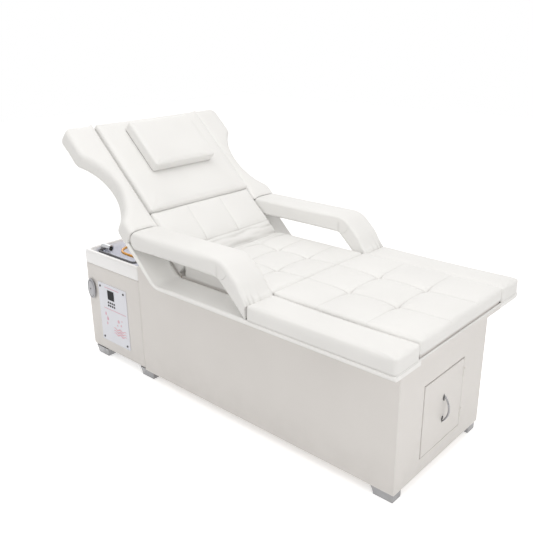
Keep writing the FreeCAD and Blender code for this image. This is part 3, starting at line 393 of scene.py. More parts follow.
def set_attribute(obj, name, values):
    layer = obj.data.attributes.new(name, "FLOAT", "POINT")
    layer.data.foreach_set("value", np.ascontiguousarray(values, dtype=np.float32))


def outward(obj):
    """Merge doubled points and turn the faces outwards."""
    work = bmesh.new()
    work.from_mesh(obj.data)
    bmesh.ops.remove_doubles(work, verts=work.verts, dist=1e-6)
    bmesh.ops.recalc_face_normals(work, faces=work.faces)
    work.to_mesh(obj.data)
    work.free()


def stacked(name, material, *stacks):
    """Closed piece made of stacks of equal rings; a stack that comes back to its first ring has no caps."""
    points = []
    faces = []
    for rings in stacks:
        count = len(rings[0])
        first = len(points)
        points += [p for ring in rings for p in ring]
        last = len(points) - count
        for start in range(first, last, count):
            for i in range(count):
                j = (i + 1) % count
                faces.append((start + i, start + j, start + count + j, start + count + i))
        if rings[0] != rings[-1]:
            faces.append(tuple(range(first, first + count)))
            faces.append(tuple(range(last, last + count)))
    obj = make_piece(name, points, faces, material)
    outward(obj)
    return obj


def block(name, low, high, material):
    plan = ((low[0], low[1]), (high[0], low[1]), (high[0], high[1]), (low[0], high[1]))
    return stacked(name, material, [[(x, y, z) for x, y in plan] for z in (low[2], high[2])])


def oval(centre, first, second, sides):
    """Closed ring round a centre, with its two half axes."""
    turns = np.linspace(0, 2 * pi, sides, endpoint=False)
    ring = np.array(centre) + np.outer(np.cos(turns), first) + np.outer(np.sin(turns), second)
    return [tuple(p) for p in ring]


def quarter(count):
    """Angles of a quarter turn."""
    return np.linspace(0, pi / 2, count)


def turn_points(centre, radius, start, end, count):
    """Points on an arc in a plane, angles from the first axis towards the second."""
    turns = np.linspace(start, end, count)
    return [(centre[0] + radius * cos(a), centre[1] + radius * sin(a)) for a in turns]


def settle(obj, body, slot, *replaced, fill=None):
    """Hand a finished piece to the frame."""
    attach(obj, body)
    if replaced:
        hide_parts(*replaced)


def tip_up(obj):
    obj.data.transform(TIP)


def smooth_step(value, low, high):
    share = np.clip((value - low) / (high - low), 0.0, 1.0)
    return share * share * (3 - 2 * share)


# Cloth: swell a closed skin against its held points
SIM_FRAMES = 20
CLOTH = {"quality": 5, "mass": 0.3, "tension_stiffness": 15, "compression_stiffness": 15,
         "shear_stiffness": 8, "bending_stiffness": 0.6, "air_damping": 2.0, "use_pressure": True}


def swell(obj, held, pressure, cap):
    """Inflate a closed skin, with held giving each point's pin weight, and limit how far points move."""
    before = coords(obj)
    group = obj.vertex_groups.new(name="held")
    for weight in np.unique(held[held > 0]):
        group.add(np.nonzero(held == weight)[0].tolist(), float(weight), "REPLACE")
    cloth = obj.modifiers.new("cloth", "CLOTH")
    for key, value in CLOTH.items():
        setattr(cloth.settings, key, value)
    cloth.settings.uniform_pressure_force = pressure
    cloth.settings.vertex_group_mass = "held"
    cloth.settings.effector_weights.gravity = 0
    cloth.collision_settings.use_collision = False
    cloth.collision_settings.use_self_collision = False
    cloth.point_cache.frame_start = 1
    cloth.point_cache.frame_end = SIM_FRAMES
    for number in range(1, SIM_FRAMES + 1):
        scene.frame_set(number)
    after = coords(obj.evaluated_get(bpy.context.evaluated_depsgraph_get()))
    obj.modifiers.clear()
    obj.vertex_groups.clear()
    scene.frame_set(1)
    moved = after - before
    length = np.maximum(np.linalg.norm(moved, axis=1), 1e-9)
    kept = cap * np.tanh(length / cap)
    set_coords(obj, before + moved * (kept / length)[:, None])


# Lattices that pads and bars are shaped on
def stations(low, high, lines, step, gather):
    """Stations from low to high through the given lines, closer together near them by the share gather."""
    marks = [low, *lines, high]
    values = []
    for first, last in zip(marks, marks[1:]):
        count = max(2, round((last - first) / step))
        share = np.linspace(0, 1, count, endpoint=False)
        share = share - gather * np.sin(2 * pi * share) / (2 * pi)
        values.extend(first + (last - first) * share)
    values.append(high)
    return np.array(values)


def box_skin(xs, ys, zs):
    """Closed skin of quads over a box, with the lattice place of each point."""
    index = {}
    steps = []
    faces = []
    nx, ny, nz = len(xs) - 1, len(ys) - 1, len(zs) - 1

    def at(i, j, k):
        key = (i, j, k)
        if key not in index:
            index[key] = len(steps)
            steps.append(key)
        return index[key]

    for i in range(nx):
        for j in range(ny):
            faces.append((at(i, j, nz), at(i + 1, j, nz), at(i + 1, j + 1, nz), at(i, j + 1, nz)))
            faces.append((at(i, j, 0), at(i, j + 1, 0), at(i + 1, j + 1, 0), at(i + 1, j, 0)))
        for k in range(nz):
            faces.append((at(i, 0, k), at(i + 1, 0, k), at(i + 1, 0, k + 1), at(i, 0, k + 1)))
            faces.append((at(i, ny, k), at(i, ny, k + 1), at(i + 1, ny, k + 1), at(i + 1, ny, k)))
    for j in range(ny):
        for k in range(nz):
            faces.append((at(0, j, k), at(0, j, k + 1), at(0, j + 1, k + 1), at(0, j + 1, k)))
            faces.append((at(nx, j, k), at(nx, j + 1, k), at(nx, j + 1, k + 1), at(nx, j, k + 1)))
    steps = np.array(steps)
    points = np.column_stack([xs[steps[:, 0]], ys[steps[:, 1]], zs[steps[:, 2]]])
    return points, faces, steps


def eased_box(points, low, high, top_round, foot_round, corner):
    """Box points with round corners in plan and rolled top and foot edges."""
    middle = (np.array(low) + np.array(high)) / 2
    half = (np.array(high) - np.array(low)) / 2
    way = np.sign(points - middle)
    reach = np.abs(points - middle)
    across = np.clip((reach[:, 0] - half[0] + corner) / corner, 0.0, 1.0)
    along = np.clip((reach[:, 1] - half[1] + corner) / corner, 0.0, 1.0)
    to_side = corner * (1 - np.maximum(across, along))
    shape = points.copy()
    side_now = to_side.copy()
    for face_z, radius, turn in ((high[2], top_round, -1.0), (low[2], foot_round, 1.0)):
        off_side = np.clip(radius - to_side, 0.0, radius)
        off_face = np.clip(radius - np.abs(points[:, 2] - face_z), 0.0, radius)
        length = np.maximum(np.hypot(off_side, off_face), 1e-9)
        rolled = (off_side > 0) & (off_face > 0)
        side_now = np.where(rolled, radius - radius * off_side / length, side_now)
        shape[:, 2] = np.where(rolled, face_z + turn * (radius - radius * off_face / length), shape[:, 2])
    grow = np.maximum(1 - side_now / corner, 0.0) / np.maximum(1 - to_side / corner, 1e-9)
    across, along = across * grow, along * grow
    round_x = across * np.sqrt(1 - along ** 2 / 2)
    round_y = along * np.sqrt(1 - across ** 2 / 2)
    new_x = np.where(across > 0, half[0] - corner + corner * round_x, reach[:, 0])
    new_y = np.where(along > 0, half[1] - corner + corner * round_y, reach[:, 1])
    shape[:, 0] = middle[0] + way[:, 0] * new_x
    shape[:, 1] = middle[1] + way[:, 1] * new_y
    return shape


# Sewn pads; a swelled pad may stand past its ends by SIDE_GAP
PAD_STEP = 6.5 * MM
SIDE_GAP = 1.5 * MM
ON_LINE = 1e-6
# How far a tuft, a sewn line, a puffed panel and a pad's edge reach
TUFT_RUN, SEAM_RUN, PUFF_RUN, EDGE_RUN = 26 * MM, 18 * MM, 40 * MM, 70 * MM
PUFF_MOST = 90 * MM
# Half width of the painted shade along a sewn line, and the depths at which the painted shade in sewn lines
# and folds is darkest
SEAM_SHADE_HALF, SEAM_SHADE_FULL, FOLD_SHADE_FULL = 3 * MM, 12 * MM, 7 * MM
# Folds wander, have a half width, and fade out close to a sewn line
FOLD_REACH, FOLD_WANDER, FOLD_HALF, FOLD_FADE = 30 * MM, 16 * MM, 5 * MM, 8 * MM
sewn_lines = {}


def fold_depth(points, folds):
    """Long wandering folds across a pad, each given as its x and its depth."""
    depth = np.zeros(len(points))
    for number, (fold_x, deep) in enumerate(folds):
        for i in np.nonzero(np.abs(points[:, 0] - fold_x) < FOLD_REACH)[0]:
            x, y = points[i][:2]
            wander = FOLD_WANDER * noise.noise(Vector((y * 9, number * 5.3, 0.4)))
            fade = min(max(0.55 + 1.4 * noise.noise(Vector((y * 7, number * 3.7, 2.9))), 0.0), 1.0)
            depth[i] += deep * fade * exp(-((x - fold_x - wander) / FOLD_HALF) ** 2)
    return depth


def seam_dip(place, crossings, low, high, deep, shallow):
    """Depth of a sewn line along its length: deep at crossings, easing off between them and at the ends."""
    depth = np.full(place.shape, shallow)
    for spot in crossings:
        depth = np.maximum(depth, shallow + (deep - shallow) * np.exp(-np.abs(place - spot) / TUFT_RUN))
    to_end = np.minimum(place - low, high - place)
    return depth * (0.45 + 0.55 * smooth_step(to_end, 0.0, EDGE_RUN))


def quilted_pad(name, low, high, ends, crown, pressure, cap, rows=(), columns=(), deep=0.0, shallow=0.0,
                row_depth=None, column_from=None, top_round=11 * MM, corner=12 * MM, foot_round=4 * MM,
                folds=(), shade_foot=0.0, material=pad_hide):
    """Sewn pad: its foot and sewn lines are held, its panels are swelled by cloth pressure."""
    low = Vector(low)
    high = Vector(high)
    xs = stations(low.x, high.x, rows, PAD_STEP, 0.6)
    ys = stations(low.y, high.y, columns, PAD_STEP, 0.6)
    zs = stations(low.z, high.z, (), PAD_STEP, 0.5)
    points, faces, steps = box_skin(xs, ys, zs)
    lattice_x, lattice_y, lattice_z = points.T
    top = steps[:, 2] == len(zs) - 1
    foot = steps[:, 2] == 0
    shape = eased_box(points, low, high, top_round, foot_round, corner)
    edge_x = np.minimum(lattice_x - low.x, high.x - lattice_x)
    edge_y = np.minimum(lattice_y - low.y, high.y - lattice_y)
    lift = (lattice_z - low.z) / (high.z - low.z)
    for edge, way, (fall, run) in ((low.x, 1, ends[0]), (high.x, -1, ends[1])):
        share = np.clip((lattice_x - edge) * way / run, 0.0, 1.0)
        shape[:, 2] -= fall * (1 - share) ** 2 * lift
    lines = []
    for line in rows:
        depth = seam_dip(lattice_y, columns, low.y, high.y, deep, shallow if row_depth is None else row_depth)
        lines.append((np.abs(lattice_x - line), depth, lattice_y, 1))
    for line in columns:
        away = np.abs(lattice_y - line)
        depth = seam_dip(lattice_x, rows, low.x, high.x, deep, shallow)
        if column_from is not None:
            away = np.where(lattice_x > column_from + ON_LINE, 1.0, away)
            depth = depth * (0.25 + 0.75 * smooth_step(lattice_x, low.x + 20 * MM, column_from))
        lines.append((away, depth, lattice_x, 0))
    dip = np.zeros(len(points))
    near = np.ones(len(points))
    for away, depth, along, trim in lines:
        dip = np.maximum(dip, np.where(top, depth * np.exp(-away / SEAM_RUN), 0.0))
        near = np.where(top, np.minimum(near, away), near)
    held = np.where(foot | (top & (near < ON_LINE)), 1.0, 0.0)
    puff = crown * (1 - np.exp(-np.minimum(near, PUFF_MOST) / PUFF_RUN))
    puff_share = 0.6
    edge_fade = smooth_step(np.minimum(edge_x, edge_y), 0.0, EDGE_RUN)
    shape[:, 2] += np.where(top, puff * edge_fade * puff_share - dip, 0.0)
    obj = make_piece(name, shape, faces, material)
    if pressure > 0:
        swell(obj, held, pressure, cap)
    shape = coords(obj)
    shape[:, 0] = np.clip(shape[:, 0], low.x - SIDE_GAP, high.x + SIDE_GAP)
    shape[:, 1] = np.clip(shape[:, 1], low.y, high.y)
    shape[:, 2] = np.maximum(shape[:, 2], low.z)
    creased = np.where(top, fold_depth(shape, folds) * np.clip(near / FOLD_FADE, 0.0, 1.0), 0.0)
    shape[:, 2] -= creased
    set_coords(obj, shape)
    # Painted shade: darker along sewn lines the deeper they dip, and in the folds
    strength = np.clip(dip / SEAM_SHADE_FULL, 0.1, 1.0)
    painted_shade = np.where(top, strength * np.exp(-(near / SEAM_SHADE_HALF) ** 2), 0.0)
    painted_shade = np.maximum(painted_shade, np.clip(creased / FOLD_SHADE_FULL, 0.0, 0.8))
    # Painted shade in the crevice at the foot of the pad, as strong as shade_foot
    under = np.clip((foot_round + 3 * MM - lattice_z + low.z) / foot_round, 0.0, 1.0)
    set_attribute(obj, "painted_shade", np.maximum(painted_shade, under * shade_foot))
    chains = []
    for away, depth, along, trim in lines:
        chain = np.nonzero(top & (away < ON_LINE))[0]
        chain = chain[np.argsort(along[chain])]
        chains.append(shape[chain[trim:len(chain) - trim]])
    sewn_lines[name] = chains
    subdivide(obj)
    return obj


# Stage: floor, light and camera
FLOOR_GLOW, ROOM_LIGHT, ROOM_TINT = 0.55, 0.68, (1.0, 0.98, 0.955, 1)
CAMERA_AT, CAMERA_LENS = (1.7535, -1.9129, 1.515), 45.08
CAMERA_YAW, CAMERA_PITCH, CAMERA_ROLL = radians(42.48), radians(20.13), radians(-0.71)


def seen_rays(tree):
    """One for rays that are seen, straight or by reflection, and nothing for rays that only give light."""
    path = node(tree, "ShaderNodeLightPath").outputs
    seen = math_node(tree, "MAXIMUM", path["Is Camera Ray"], path["Is Glossy Ray"])
    return math_node(tree, "MAXIMUM", seen, path["Is Transmission Ray"])


def build_stage():
    material, tree, shader = start_material("pale_floor")
    shader.inputs["Base Color"].default_value = (0.86, 0.86, 0.86, 1)
    shader.inputs["Roughness"].default_value = 0.9
    strength = math_node(tree, "MULTIPLY", seen_rays(tree), FLOOR_GLOW)
    glow = node(tree, "ShaderNodeEmission", {"Color": (1, 1, 1, 1), "Strength": strength})
    both = node(tree, "ShaderNodeAddShader", {0: shader.outputs[0], 1: glow.outputs[0]})
    feed(tree, tree.nodes["Material Output"].inputs["Surface"], both.outputs[0])
    floor = make_piece("floor", [(-9, -9, 0), (9, -9, 0), (9, 9, 0), (-9, 9, 0)], [(0, 1, 2, 3)], material)
    world = bpy.data.worlds.new("studio")
    scene.world = world
    world.use_nodes = True
    tree = world.node_tree
    back = tree.nodes["Background"]
    seen = seen_rays(tree)
    feed(tree, back.inputs["Color"], mix_colour(tree, seen, ROOM_TINT, (1, 1, 1, 1)))
    feed(tree, back.inputs["Strength"], remap(tree, seen, 0.0, 1.0, ROOM_LIGHT, 1.0))


def add_lamp(name, place, target, size, energy):
    data = bpy.data.lights.new(name, "AREA")
    data.shape = "RECTANGLE"
    data.size, data.size_y = size
    data.energy = energy
    lamp = bpy.data.objects.new(name, data)
    way = Vector(target) - Vector(place)
    lamp.location = place
    lamp.rotation_euler = way.to_track_quat("-Z", "Y").to_euler()
    scene.collection.objects.link(lamp)
    return lamp


def build_camera():
    """Camera at the photograph's viewing angle."""
    turn = Matrix.Rotation(CAMERA_YAW, 4, "Z") @ Matrix.Rotation(pi / 2 - CAMERA_PITCH, 4, "X")
    roll = Matrix.Rotation(CAMERA_ROLL, 4, "Z")
    data = bpy.data.cameras.new("photo_camera")
    data.sensor_width = 36.0
    data.lens = CAMERA_LENS
    camera = bpy.data.objects.new("photo_camera", data)
    camera.matrix_world = Matrix.Translation(CAMERA_AT) @ turn @ roll
    scene.collection.objects.link(camera)
    scene.camera = camera


scene.view_settings.view_transform = "Standard"
build_stage()
add_lamp("overhead", (0.3, -0.4, 3.4), (0.0, 0.0, 0.5), (3.2, 2.6), 32.0)
add_lamp("front_fill", (3.0, -1.2, 1.9), (0.2, 0.0, 0.4), (2.0, 2.0), 14.0)
add_lamp("side_fill", (-0.5, -3.2, 1.1), (0.0, 0.0, 0.5), (2.4, 1.4), 1.5)
add_lamp("head_fill", (-2.6, 0.9, 1.9), (-0.7, 0.0, 0.45), (1.6, 1.6), 8.0)
basin_mid = (rim_low + rim_high) / 2
mouth_z = rim_high.z + 4 * MM
basin_fill = add_lamp("basin_fill", (basin_mid.x, 0, mouth_z), (basin_mid.x, 0, 0), (0.33, 0.54), 0.36)
basin_fill.visible_camera = False
basin_fill.visible_glossy = False
build_camera()


# Geometry Nodes: stitches and welts that follow sewn lines
def geometry_tree(name, *numbers):
    """Start a geometry tree that takes lines, plain numbers and a material."""
    tree = bpy.data.node_groups.new(name, "GeometryNodeTree")
    tree.interface.new_socket("Geometry", in_out="INPUT", socket_type="NodeSocketGeometry")
    for label in numbers:
        tree.interface.new_socket(label, in_out="INPUT", socket_type="NodeSocketFloat")
    tree.interface.new_socket("Material", in_out="INPUT", socket_type="NodeSocketMaterial")
    tree.interface.new_socket("Geometry", in_out="OUTPUT", socket_type="NodeSocketGeometry")
    return tree, tree.nodes.new("NodeGroupInput").outputs, tree.nodes.new("NodeGroupOutput").inputs


def dressed(tree, mesh, material, result):
    """Close a tree: real geometry, smooth, with its material."""
    real = node(tree, "GeometryNodeRealizeInstances", {"Geometry": mesh}).outputs[0]
    smooth = node(tree, "GeometryNodeSetShadeSmooth", {"Geometry": real}).outputs[0]
    painted = node(tree, "GeometryNodeSetMaterial", {"Geometry": smooth, "Material": material}).outputs[0]
    feed(tree, result["Geometry"], painted)


def build_stitch_tree():
    tree, given, result = geometry_tree("stitch_row", "Pitch", "Length", "Thickness")
    curve = node(tree, "GeometryNodeMeshToCurve", {"Mesh": given["Geometry"]}).outputs[0]
    spots = node(tree, "GeometryNodeCurveToPoints", {"Curve": curve, "Length": given["Pitch"]}, mode="LENGTH")
    bead = node(tree, "GeometryNodeMeshUVSphere", {"Segments": 6, "Rings": 4, "Radius": given["Thickness"]})
    twice = math_node(tree, "MULTIPLY", given["Thickness"], 2.0)
    stretch = math_node(tree, "DIVIDE", given["Length"], twice)
    scale = node(tree, "ShaderNodeCombineXYZ", {"X": 1.0, "Y": 1.0, "Z": stretch}).outputs[0]
    stitch = node(tree, "GeometryNodeTransform", {"Geometry": bead.outputs["Mesh"], "Scale": scale})
    row = node(tree, "GeometryNodeInstanceOnPoints", {
        "Points": spots.outputs["Points"], "Rotation": spots.outputs["Rotation"],
        "Instance": stitch.outputs[0]})
    dressed(tree, row.outputs[0], given["Material"], result)
    return tree


def build_welt_tree():
    tree, given, result = geometry_tree("welt_cord", "Step", "Thickness")
    curve = node(tree, "GeometryNodeMeshToCurve", {"Mesh": given["Geometry"]}).outputs[0]
    even = node(tree, "GeometryNodeResampleCurve", {"Curve": curve, "Length": given["Step"]}, mode="LENGTH")
    ring = node(tree, "GeometryNodeCurvePrimitiveCircle", {"Resolution": 8, "Radius": given["Thickness"]})
    cord = node(tree, "GeometryNodeCurveToMesh", {
        "Curve": even.outputs[0], "Profile Curve": ring.outputs[0], "Fill Caps": True})
    dressed(tree, cord.outputs[0], given["Material"], result)
    return tree


stitch_tree = build_stitch_tree()
welt_tree = build_welt_tree()


def along_lines(name, lines, tree, **values):
    """Run a node tree along lines of points and keep the result as a plain mesh."""
    points = []
    edges = []
    for chain in lines:
        first = len(points)
        points.extend(tuple(p) for p in chain)
        edges.extend((i, i + 1) for i in range(first, len(points) - 1))
    mesh = bpy.data.meshes.new(name)
    mesh.from_pydata(points, edges, [])
    obj = add_mesh(name, mesh)
    made = obj.modifiers.new("rows", "NODES")
    made.node_group = tree
    for item in tree.interface.items_tree:
        if item.name in values:
            made[item.identifier] = values[item.name]
    bake(obj)
    return obj


# Pads on the base and the leg rest
third = PAD_EDGE / 3
seat_folds = [(seat_low.x + 16 * MM, 8 * MM), (seat_low.x + 40 * MM, 10 * MM), (seat_low.x + 68 * MM, 7 * MM)]
seat = quilted_pad(
    "seat_cushion", (seat_low.x, -PAD_EDGE, LEDGE), (seat_high.x, PAD_EDGE, LEDGE + 62 * MM),
    ends=((5 * MM, 40 * MM), (1 * MM, 14 * MM)), crown=12 * MM, pressure=1.6, cap=14 * MM,
    rows=(seat_low.x + 170 * MM, seat_low.x + 330 * MM), columns=(-third, third), deep=22 * MM,
    shallow=3 * MM, foot_round=6 * MM, folds=seat_folds)
settle(seat, "base", "leatherette", "seat_pad", fill=0.8)

leg_low, leg_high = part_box("leg_pad")
leg_span = leg_high.x - leg_low.x
leg = quilted_pad(
    "leg_cushion", (leg_low.x, -PAD_EDGE, leg_low.z), (leg_high.x, PAD_EDGE, leg_low.z + 52 * MM),
    ends=((1 * MM, 14 * MM), (1 * MM, 40 * MM)), crown=13 * MM, pressure=1.6, cap=14 * MM,
    rows=(leg_low.x + leg_span / 3, leg_low.x + 2 * leg_span / 3), columns=(-third, third), deep=25 * MM,
    shallow=3 * MM, shade_foot=0.5)
settle(leg, "leg_rest", "leatherette", "leg_pad", fill=0.85)

side_low, side_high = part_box("side_pad_right")
side = quilted_pad(
    "side_cushion_right", side_low, (side_high.x, side_high.y, LEDGE + 57 * MM),
    ends=((2 * MM, 30 * MM), (1 * MM, 30 * MM)), crown=3 * MM, pressure=0.7, cap=4 * MM, corner=14 * MM,
    shade_foot=0.5)
settle(side, "base", "leatherette", "side_pad_right", fill=0.85)
settle(mirrored(side, "side_cushion_left"), "base", "leatherette", "side_pad_left", fill=0.85)

# Pads on the back, shaped flat and tipped up
lower_low, lower_high = flat_box("lower_back_pad")
lower_row = lower_high.x - 82 * MM
lower = quilted_pad(
    "lower_back_cushion", lower_low, (lower_high.x, lower_high.y, LEDGE + 57 * MM),
    ends=((1 * MM, 24 * MM), (15 * MM, 50 * MM)), crown=8 * MM, pressure=1.6, cap=12 * MM, rows=(lower_row,),
    columns=(-third, third), deep=16 * MM, shallow=3 * MM, row_depth=9 * MM, column_from=lower_row,
    top_round=8 * MM, corner=9 * MM,
    folds=[(lower_row + 22 * MM, 9 * MM), (lower_row + 44 * MM, 11 * MM), (lower_row + 64 * MM, 7 * MM)])
tip_up(lower)
settle(lower, "back", "leatherette", "lower_back_pad", fill=0.8)

HEAD_PROUD = 13 * MM
upper_low, upper_high = flat_box("upper_pad")
upper = quilted_pad(
    "upper_back_cushion", (upper_low.x - HEAD_PROUD, upper_low.y, upper_low.z),
    (upper_high.x, upper_high.y, upper_low.z + 58 * MM), ends=((0.5 * MM, 30 * MM), (1 * MM, 30 * MM)),
    crown=4 * MM, pressure=0.3, cap=4 * MM, top_round=9 * MM, corner=10 * MM)
tip_up(upper)
settle(upper, "head_cover", "leatherette", "upper_pad", fill=0.8)

pillow_low, pillow_high = flat_box("pillow")
pillow = quilted_pad(
    "head_pillow", (pillow_low.x - 3 * MM, pillow_low.y, pillow_low.z + 3 * MM),
    (pillow_high.x, pillow_high.y, pillow_low.z + 49 * MM), ends=((0.5 * MM, 30 * MM), (0.5 * MM, 30 * MM)),
    crown=4 * MM, pressure=0.4, cap=4 * MM, top_round=7 * MM, corner=13 * MM, foot_round=5 * MM)
tip_up(pillow)
settle(pillow, "head_cover", "leatherette", "pillow", fill=0.75)
# Dark strip just inside the pillow's outline: a painted shadow line under its edges
painted_shadow_strip = quilted_pad(
    "pillow_painted_shadow", (pillow_low.x, pillow_low.y + 3 * MM, pillow_low.z - 8 * MM),
    (pillow_high.x - 3 * MM, pillow_high.y - 3 * MM, pillow_low.z + 4 * MM),
    ends=((0.0, 30 * MM), (0.0, 30 * MM)), crown=0.0, pressure=0.0, cap=1 * MM, top_round=2 * MM,
    foot_round=2 * MM, material=painted_shadow_hide)
tip_up(painted_shadow_strip)
settle(painted_shadow_strip, "head_cover", "leatherette", fill=0.9)

# Armrests and their folding legs: bars with rolled long edges, shaped on a lattice and swelled
ARM_T = 36 * MM
ARM_ROLL = 15 * MM
FILLET_R = 100 * MM
REAR_ROUND = 15 * MM
CREASE_BACK, CREASE_HALF, CREASE_DEEP = 12 * MM, 5 * MM, 3 * MM
arm_low, arm_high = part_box("armrest_right")
ARM_Y0, ARM_Y1 = arm_low.y, arm_high.y
ARM_MID, ARM_HALF = (ARM_Y0 + ARM_Y1) / 2, (ARM_Y1 - ARM_Y0) / 2
pivot_z = (arm_low.z + arm_high.z) / 2
rear_x, front_x = arm_low.x + ARM_T, arm_high.x - ARM_T
half_bend = LEAN / 2
fillet_in = (FILLET_R - ARM_T) / cos(half_bend)
fillet_x = front_x - fillet_in * sin(half_bend)
fillet_z = pivot_z - fillet_in * cos(half_bend)


def rolled_stations(low, high, radius, count, step):
    """Stations across a bar that follow a rolled edge on both sides."""
    turn = quarter(count)
    edge = radius * (1 - np.cos(turn))
    middle = np.linspace(low + radius, high - radius, max(3, round((high - low - 2 * radius) / step)))
    return np.concatenate([low + edge[:-1], middle, (high - edge[:-1])[::-1]])


def edge_inset(place):
    """How far a bar's wall lies inside its full size near its sides."""
    to_side = np.clip(np.minimum(place - ARM_Y0, ARM_Y1 - place), 0.0, ARM_ROLL)
    return ARM_ROLL - np.sqrt(np.maximum(ARM_ROLL ** 2 - (ARM_ROLL - to_side) ** 2, 0.0))


def over_elbow(points, inset):
    """Hold points near the elbow inside one wide curve over the armrest and its leg."""
    off_x = points[:, 0] - fillet_x
    off_z = points[:, 2] - fillet_z
    turn = np.arctan2(off_x, off_z)
    reach = np.hypot(off_x, off_z)
    most = FILLET_R - inset
    kept = np.where((turn > 0) & (turn < LEAN) & (reach > most), most / np.maximum(reach, 1e-9), 1.0)
    points[:, 0] = fillet_x + off_x * kept
    points[:, 2] = fillet_z + off_z * kept


def rear_pull(y):
    """How far the rear end of an armrest is rounded off in plan."""
    off = np.abs(np.abs(y) - abs(ARM_MID)) / ARM_HALF
    return REAR_ROUND * np.minimum(off, 1.0) ** 2.5


def swelled_bar(name, points, faces, held, painted_shade, foot_x, foot_z, lean):
    """Swell a bar as cloth; its inner side and its sole, a plane through the foot point, stay flat."""
    obj = make_piece(name, points, faces, pad_hide)
    # Painted shade in the bar's creases and pleats, carried to the material
    set_attribute(obj, "painted_shade", painted_shade)
    outward(obj)
    swell(obj, np.round(held, 1), 0.8, 3 * MM)
    shape = coords(obj)
    shape[:, 1] = np.minimum(shape[:, 1], ARM_Y1 - 2 * MM)
    off_x, off_z = shape[:, 0] - foot_x, shape[:, 2] - foot_z
    sunk = np.maximum(-off_x * sin(lean) - off_z * cos(lean), 0.0)
    shape[:, 0] += sunk * sin(lean)
    shape[:, 2] += sunk * cos(lean)
    set_coords(obj, shape)
    subdivide(obj)
    return obj


arm_xs = np.concatenate([np.linspace(arm_low.x, rear_x, 9)[:-1], np.linspace(rear_x, front_x, 76),
                         np.linspace(front_x, arm_high.x, 9)[1:]])
arm_ys = rolled_stations(ARM_Y0, ARM_Y1, ARM_ROLL, 6, 5 * MM)
arm_zs = np.linspace(arm_low.z, arm_high.z, 13)
points, faces = box_skin(arm_xs, arm_ys, arm_zs)[:2]
bar_x, bar_y, bar_z = points.T
inset = edge_inset(bar_y)
side_v = (bar_z - pivot_z) / ARM_T
past = np.maximum(bar_x - front_x, 0.0) + np.minimum(bar_x - rear_x, 0.0)
side_u = past / ARM_T
round_u = side_u * np.sqrt(1 - side_v ** 2 / 2)
round_v = side_v * np.sqrt(1 - side_u ** 2 / 2)
nose_turn = np.degrees(np.arctan2(round_v, np.maximum(round_u, 1e-9)))
upper_roll = np.where(bar_x > front_x, smooth_step(nose_turn, 30.0, 52.0), 1.0)
lower_roll = 1 - smooth_step(bar_x, front_x - 30 * MM, front_x - 6 * MM)
grow = 1 - inset / ARM_T * np.where(side_v >= 0, upper_roll, lower_roll)
arm_points = np.column_stack([bar_x - past + round_u * ARM_T * grow, bar_y, pivot_z + round_v * ARM_T * grow])
over_elbow(arm_points, inset)
rear = 1 - smooth_step(bar_x, arm_low.x, arm_low.x + 90 * MM)
arm_points[:, 0] += rear_pull(bar_y) * rear
off_y = bar_y - ARM_MID
on_side = smooth_step(np.abs(off_y), ARM_HALF - 12 * MM, ARM_HALF - 2 * MM)
crease = np.exp(-((bar_x - front_x + CREASE_BACK) / CREASE_HALF) ** 2)
crease = crease * (1 - smooth_step(side_v, 0.2, 0.8)) * on_side
arm_points[:, 1] -= np.sign(off_y) * CREASE_DEEP * crease
middle_x, half_x = (rear_x + front_x) / 2, (front_x - rear_x) / 2
ends_held = smooth_step(np.abs(bar_x - middle_x), half_x - 45 * MM, half_x - 15 * MM)
# The armrest's crease gets painted shade
arm = swelled_bar("armrest_cushion_right", arm_points, faces, ends_held, 0.5 * crease, rear_x,
                  arm_low.z + 0.5 * MM, 0.0)
settle(arm, "armrest_right", "leatherette", "armrest_right", fill=0.85)
settle(mirrored(arm, "armrest_cushion_left"), "armrest_left", "leatherette", "armrest_left", fill=0.85)

# The leg's upper end clears the armrest's round end through the whole travel of the back
fold_at = Vector(joints["arm_leg_right_fold"]["pos_m"])
ARM_REACH, ARM_UP = 189 * MM, 36.5 * MM
BED_CLEAR = 36.8 * MM
STEEPER = radians(7.5)
bend_most = LEAN + STEEPER
TUCK, TAPER = 6 * MM, 16 * MM
LIP_LEAST, LIP_MORE, LIP_TOP, LIP_ROUND = 8 * MM, 12 * MM, 46 * MM, 10 * MM
PLEATS = ((-418 * MM, 4 * MM), (-404 * MM, 5 * MM), (-384 * MM, 4 * MM), (-352 * MM, 2 * MM))
PLEAT_HALF = 4.5 * MM
leg_as = np.concatenate([np.linspace(0, 0.2, 7), np.linspace(0.2, 0.9, 15)[1:], np.linspace(0.9, 1.0, 6)[1:]])
leg_ts = np.linspace(-ARM_T, ARM_T, 13)
points, faces = box_skin(leg_as, arm_ys, leg_ts)[:2]
share, bar_y, rise = points.T
inset = edge_inset(bar_y)
rise = rise * (ARM_T - inset) / ARM_T
round_start = np.sqrt(np.maximum(BED_CLEAR ** 2 - rise ** 2, 0.0))
bar_start = (BED_CLEAR + rise * cos(bend_most)) / sin(bend_most)
start = np.where(rise > -BED_CLEAR * cos(bend_most), round_start, bar_start)
tucked = smooth_step(rise, 18 * MM, 31 * MM)
start = start * (1 - tucked) - TUCK * tucked
near_end = smooth_step(share, 0.6, 1.0)
rise = rise - TAPER * near_end * (rise + ARM_T) / (2 * ARM_T)
height = rise + ARM_UP
sole_end = ARM_REACH + height / tan(LEAN) - 0.5 * MM
lip = LIP_LEAST + LIP_MORE * smooth_step(height, 34 * MM, 52 * MM)
lip_top = np.clip(height - LIP_TOP, 0.0, LIP_ROUND)
lip = lip - LIP_ROUND * (1 - np.sqrt(1 - (lip_top / (1.05 * LIP_ROUND)) ** 2))
face_end = ARM_REACH + (lip - height * sin(LEAN)) / cos(LEAN)
pleats = np.zeros(len(points))
for pleat_y, pleat_deep in PLEATS:
    pleats += pleat_deep * np.exp(-((bar_y - pleat_y) / PLEAT_HALF) ** 2)
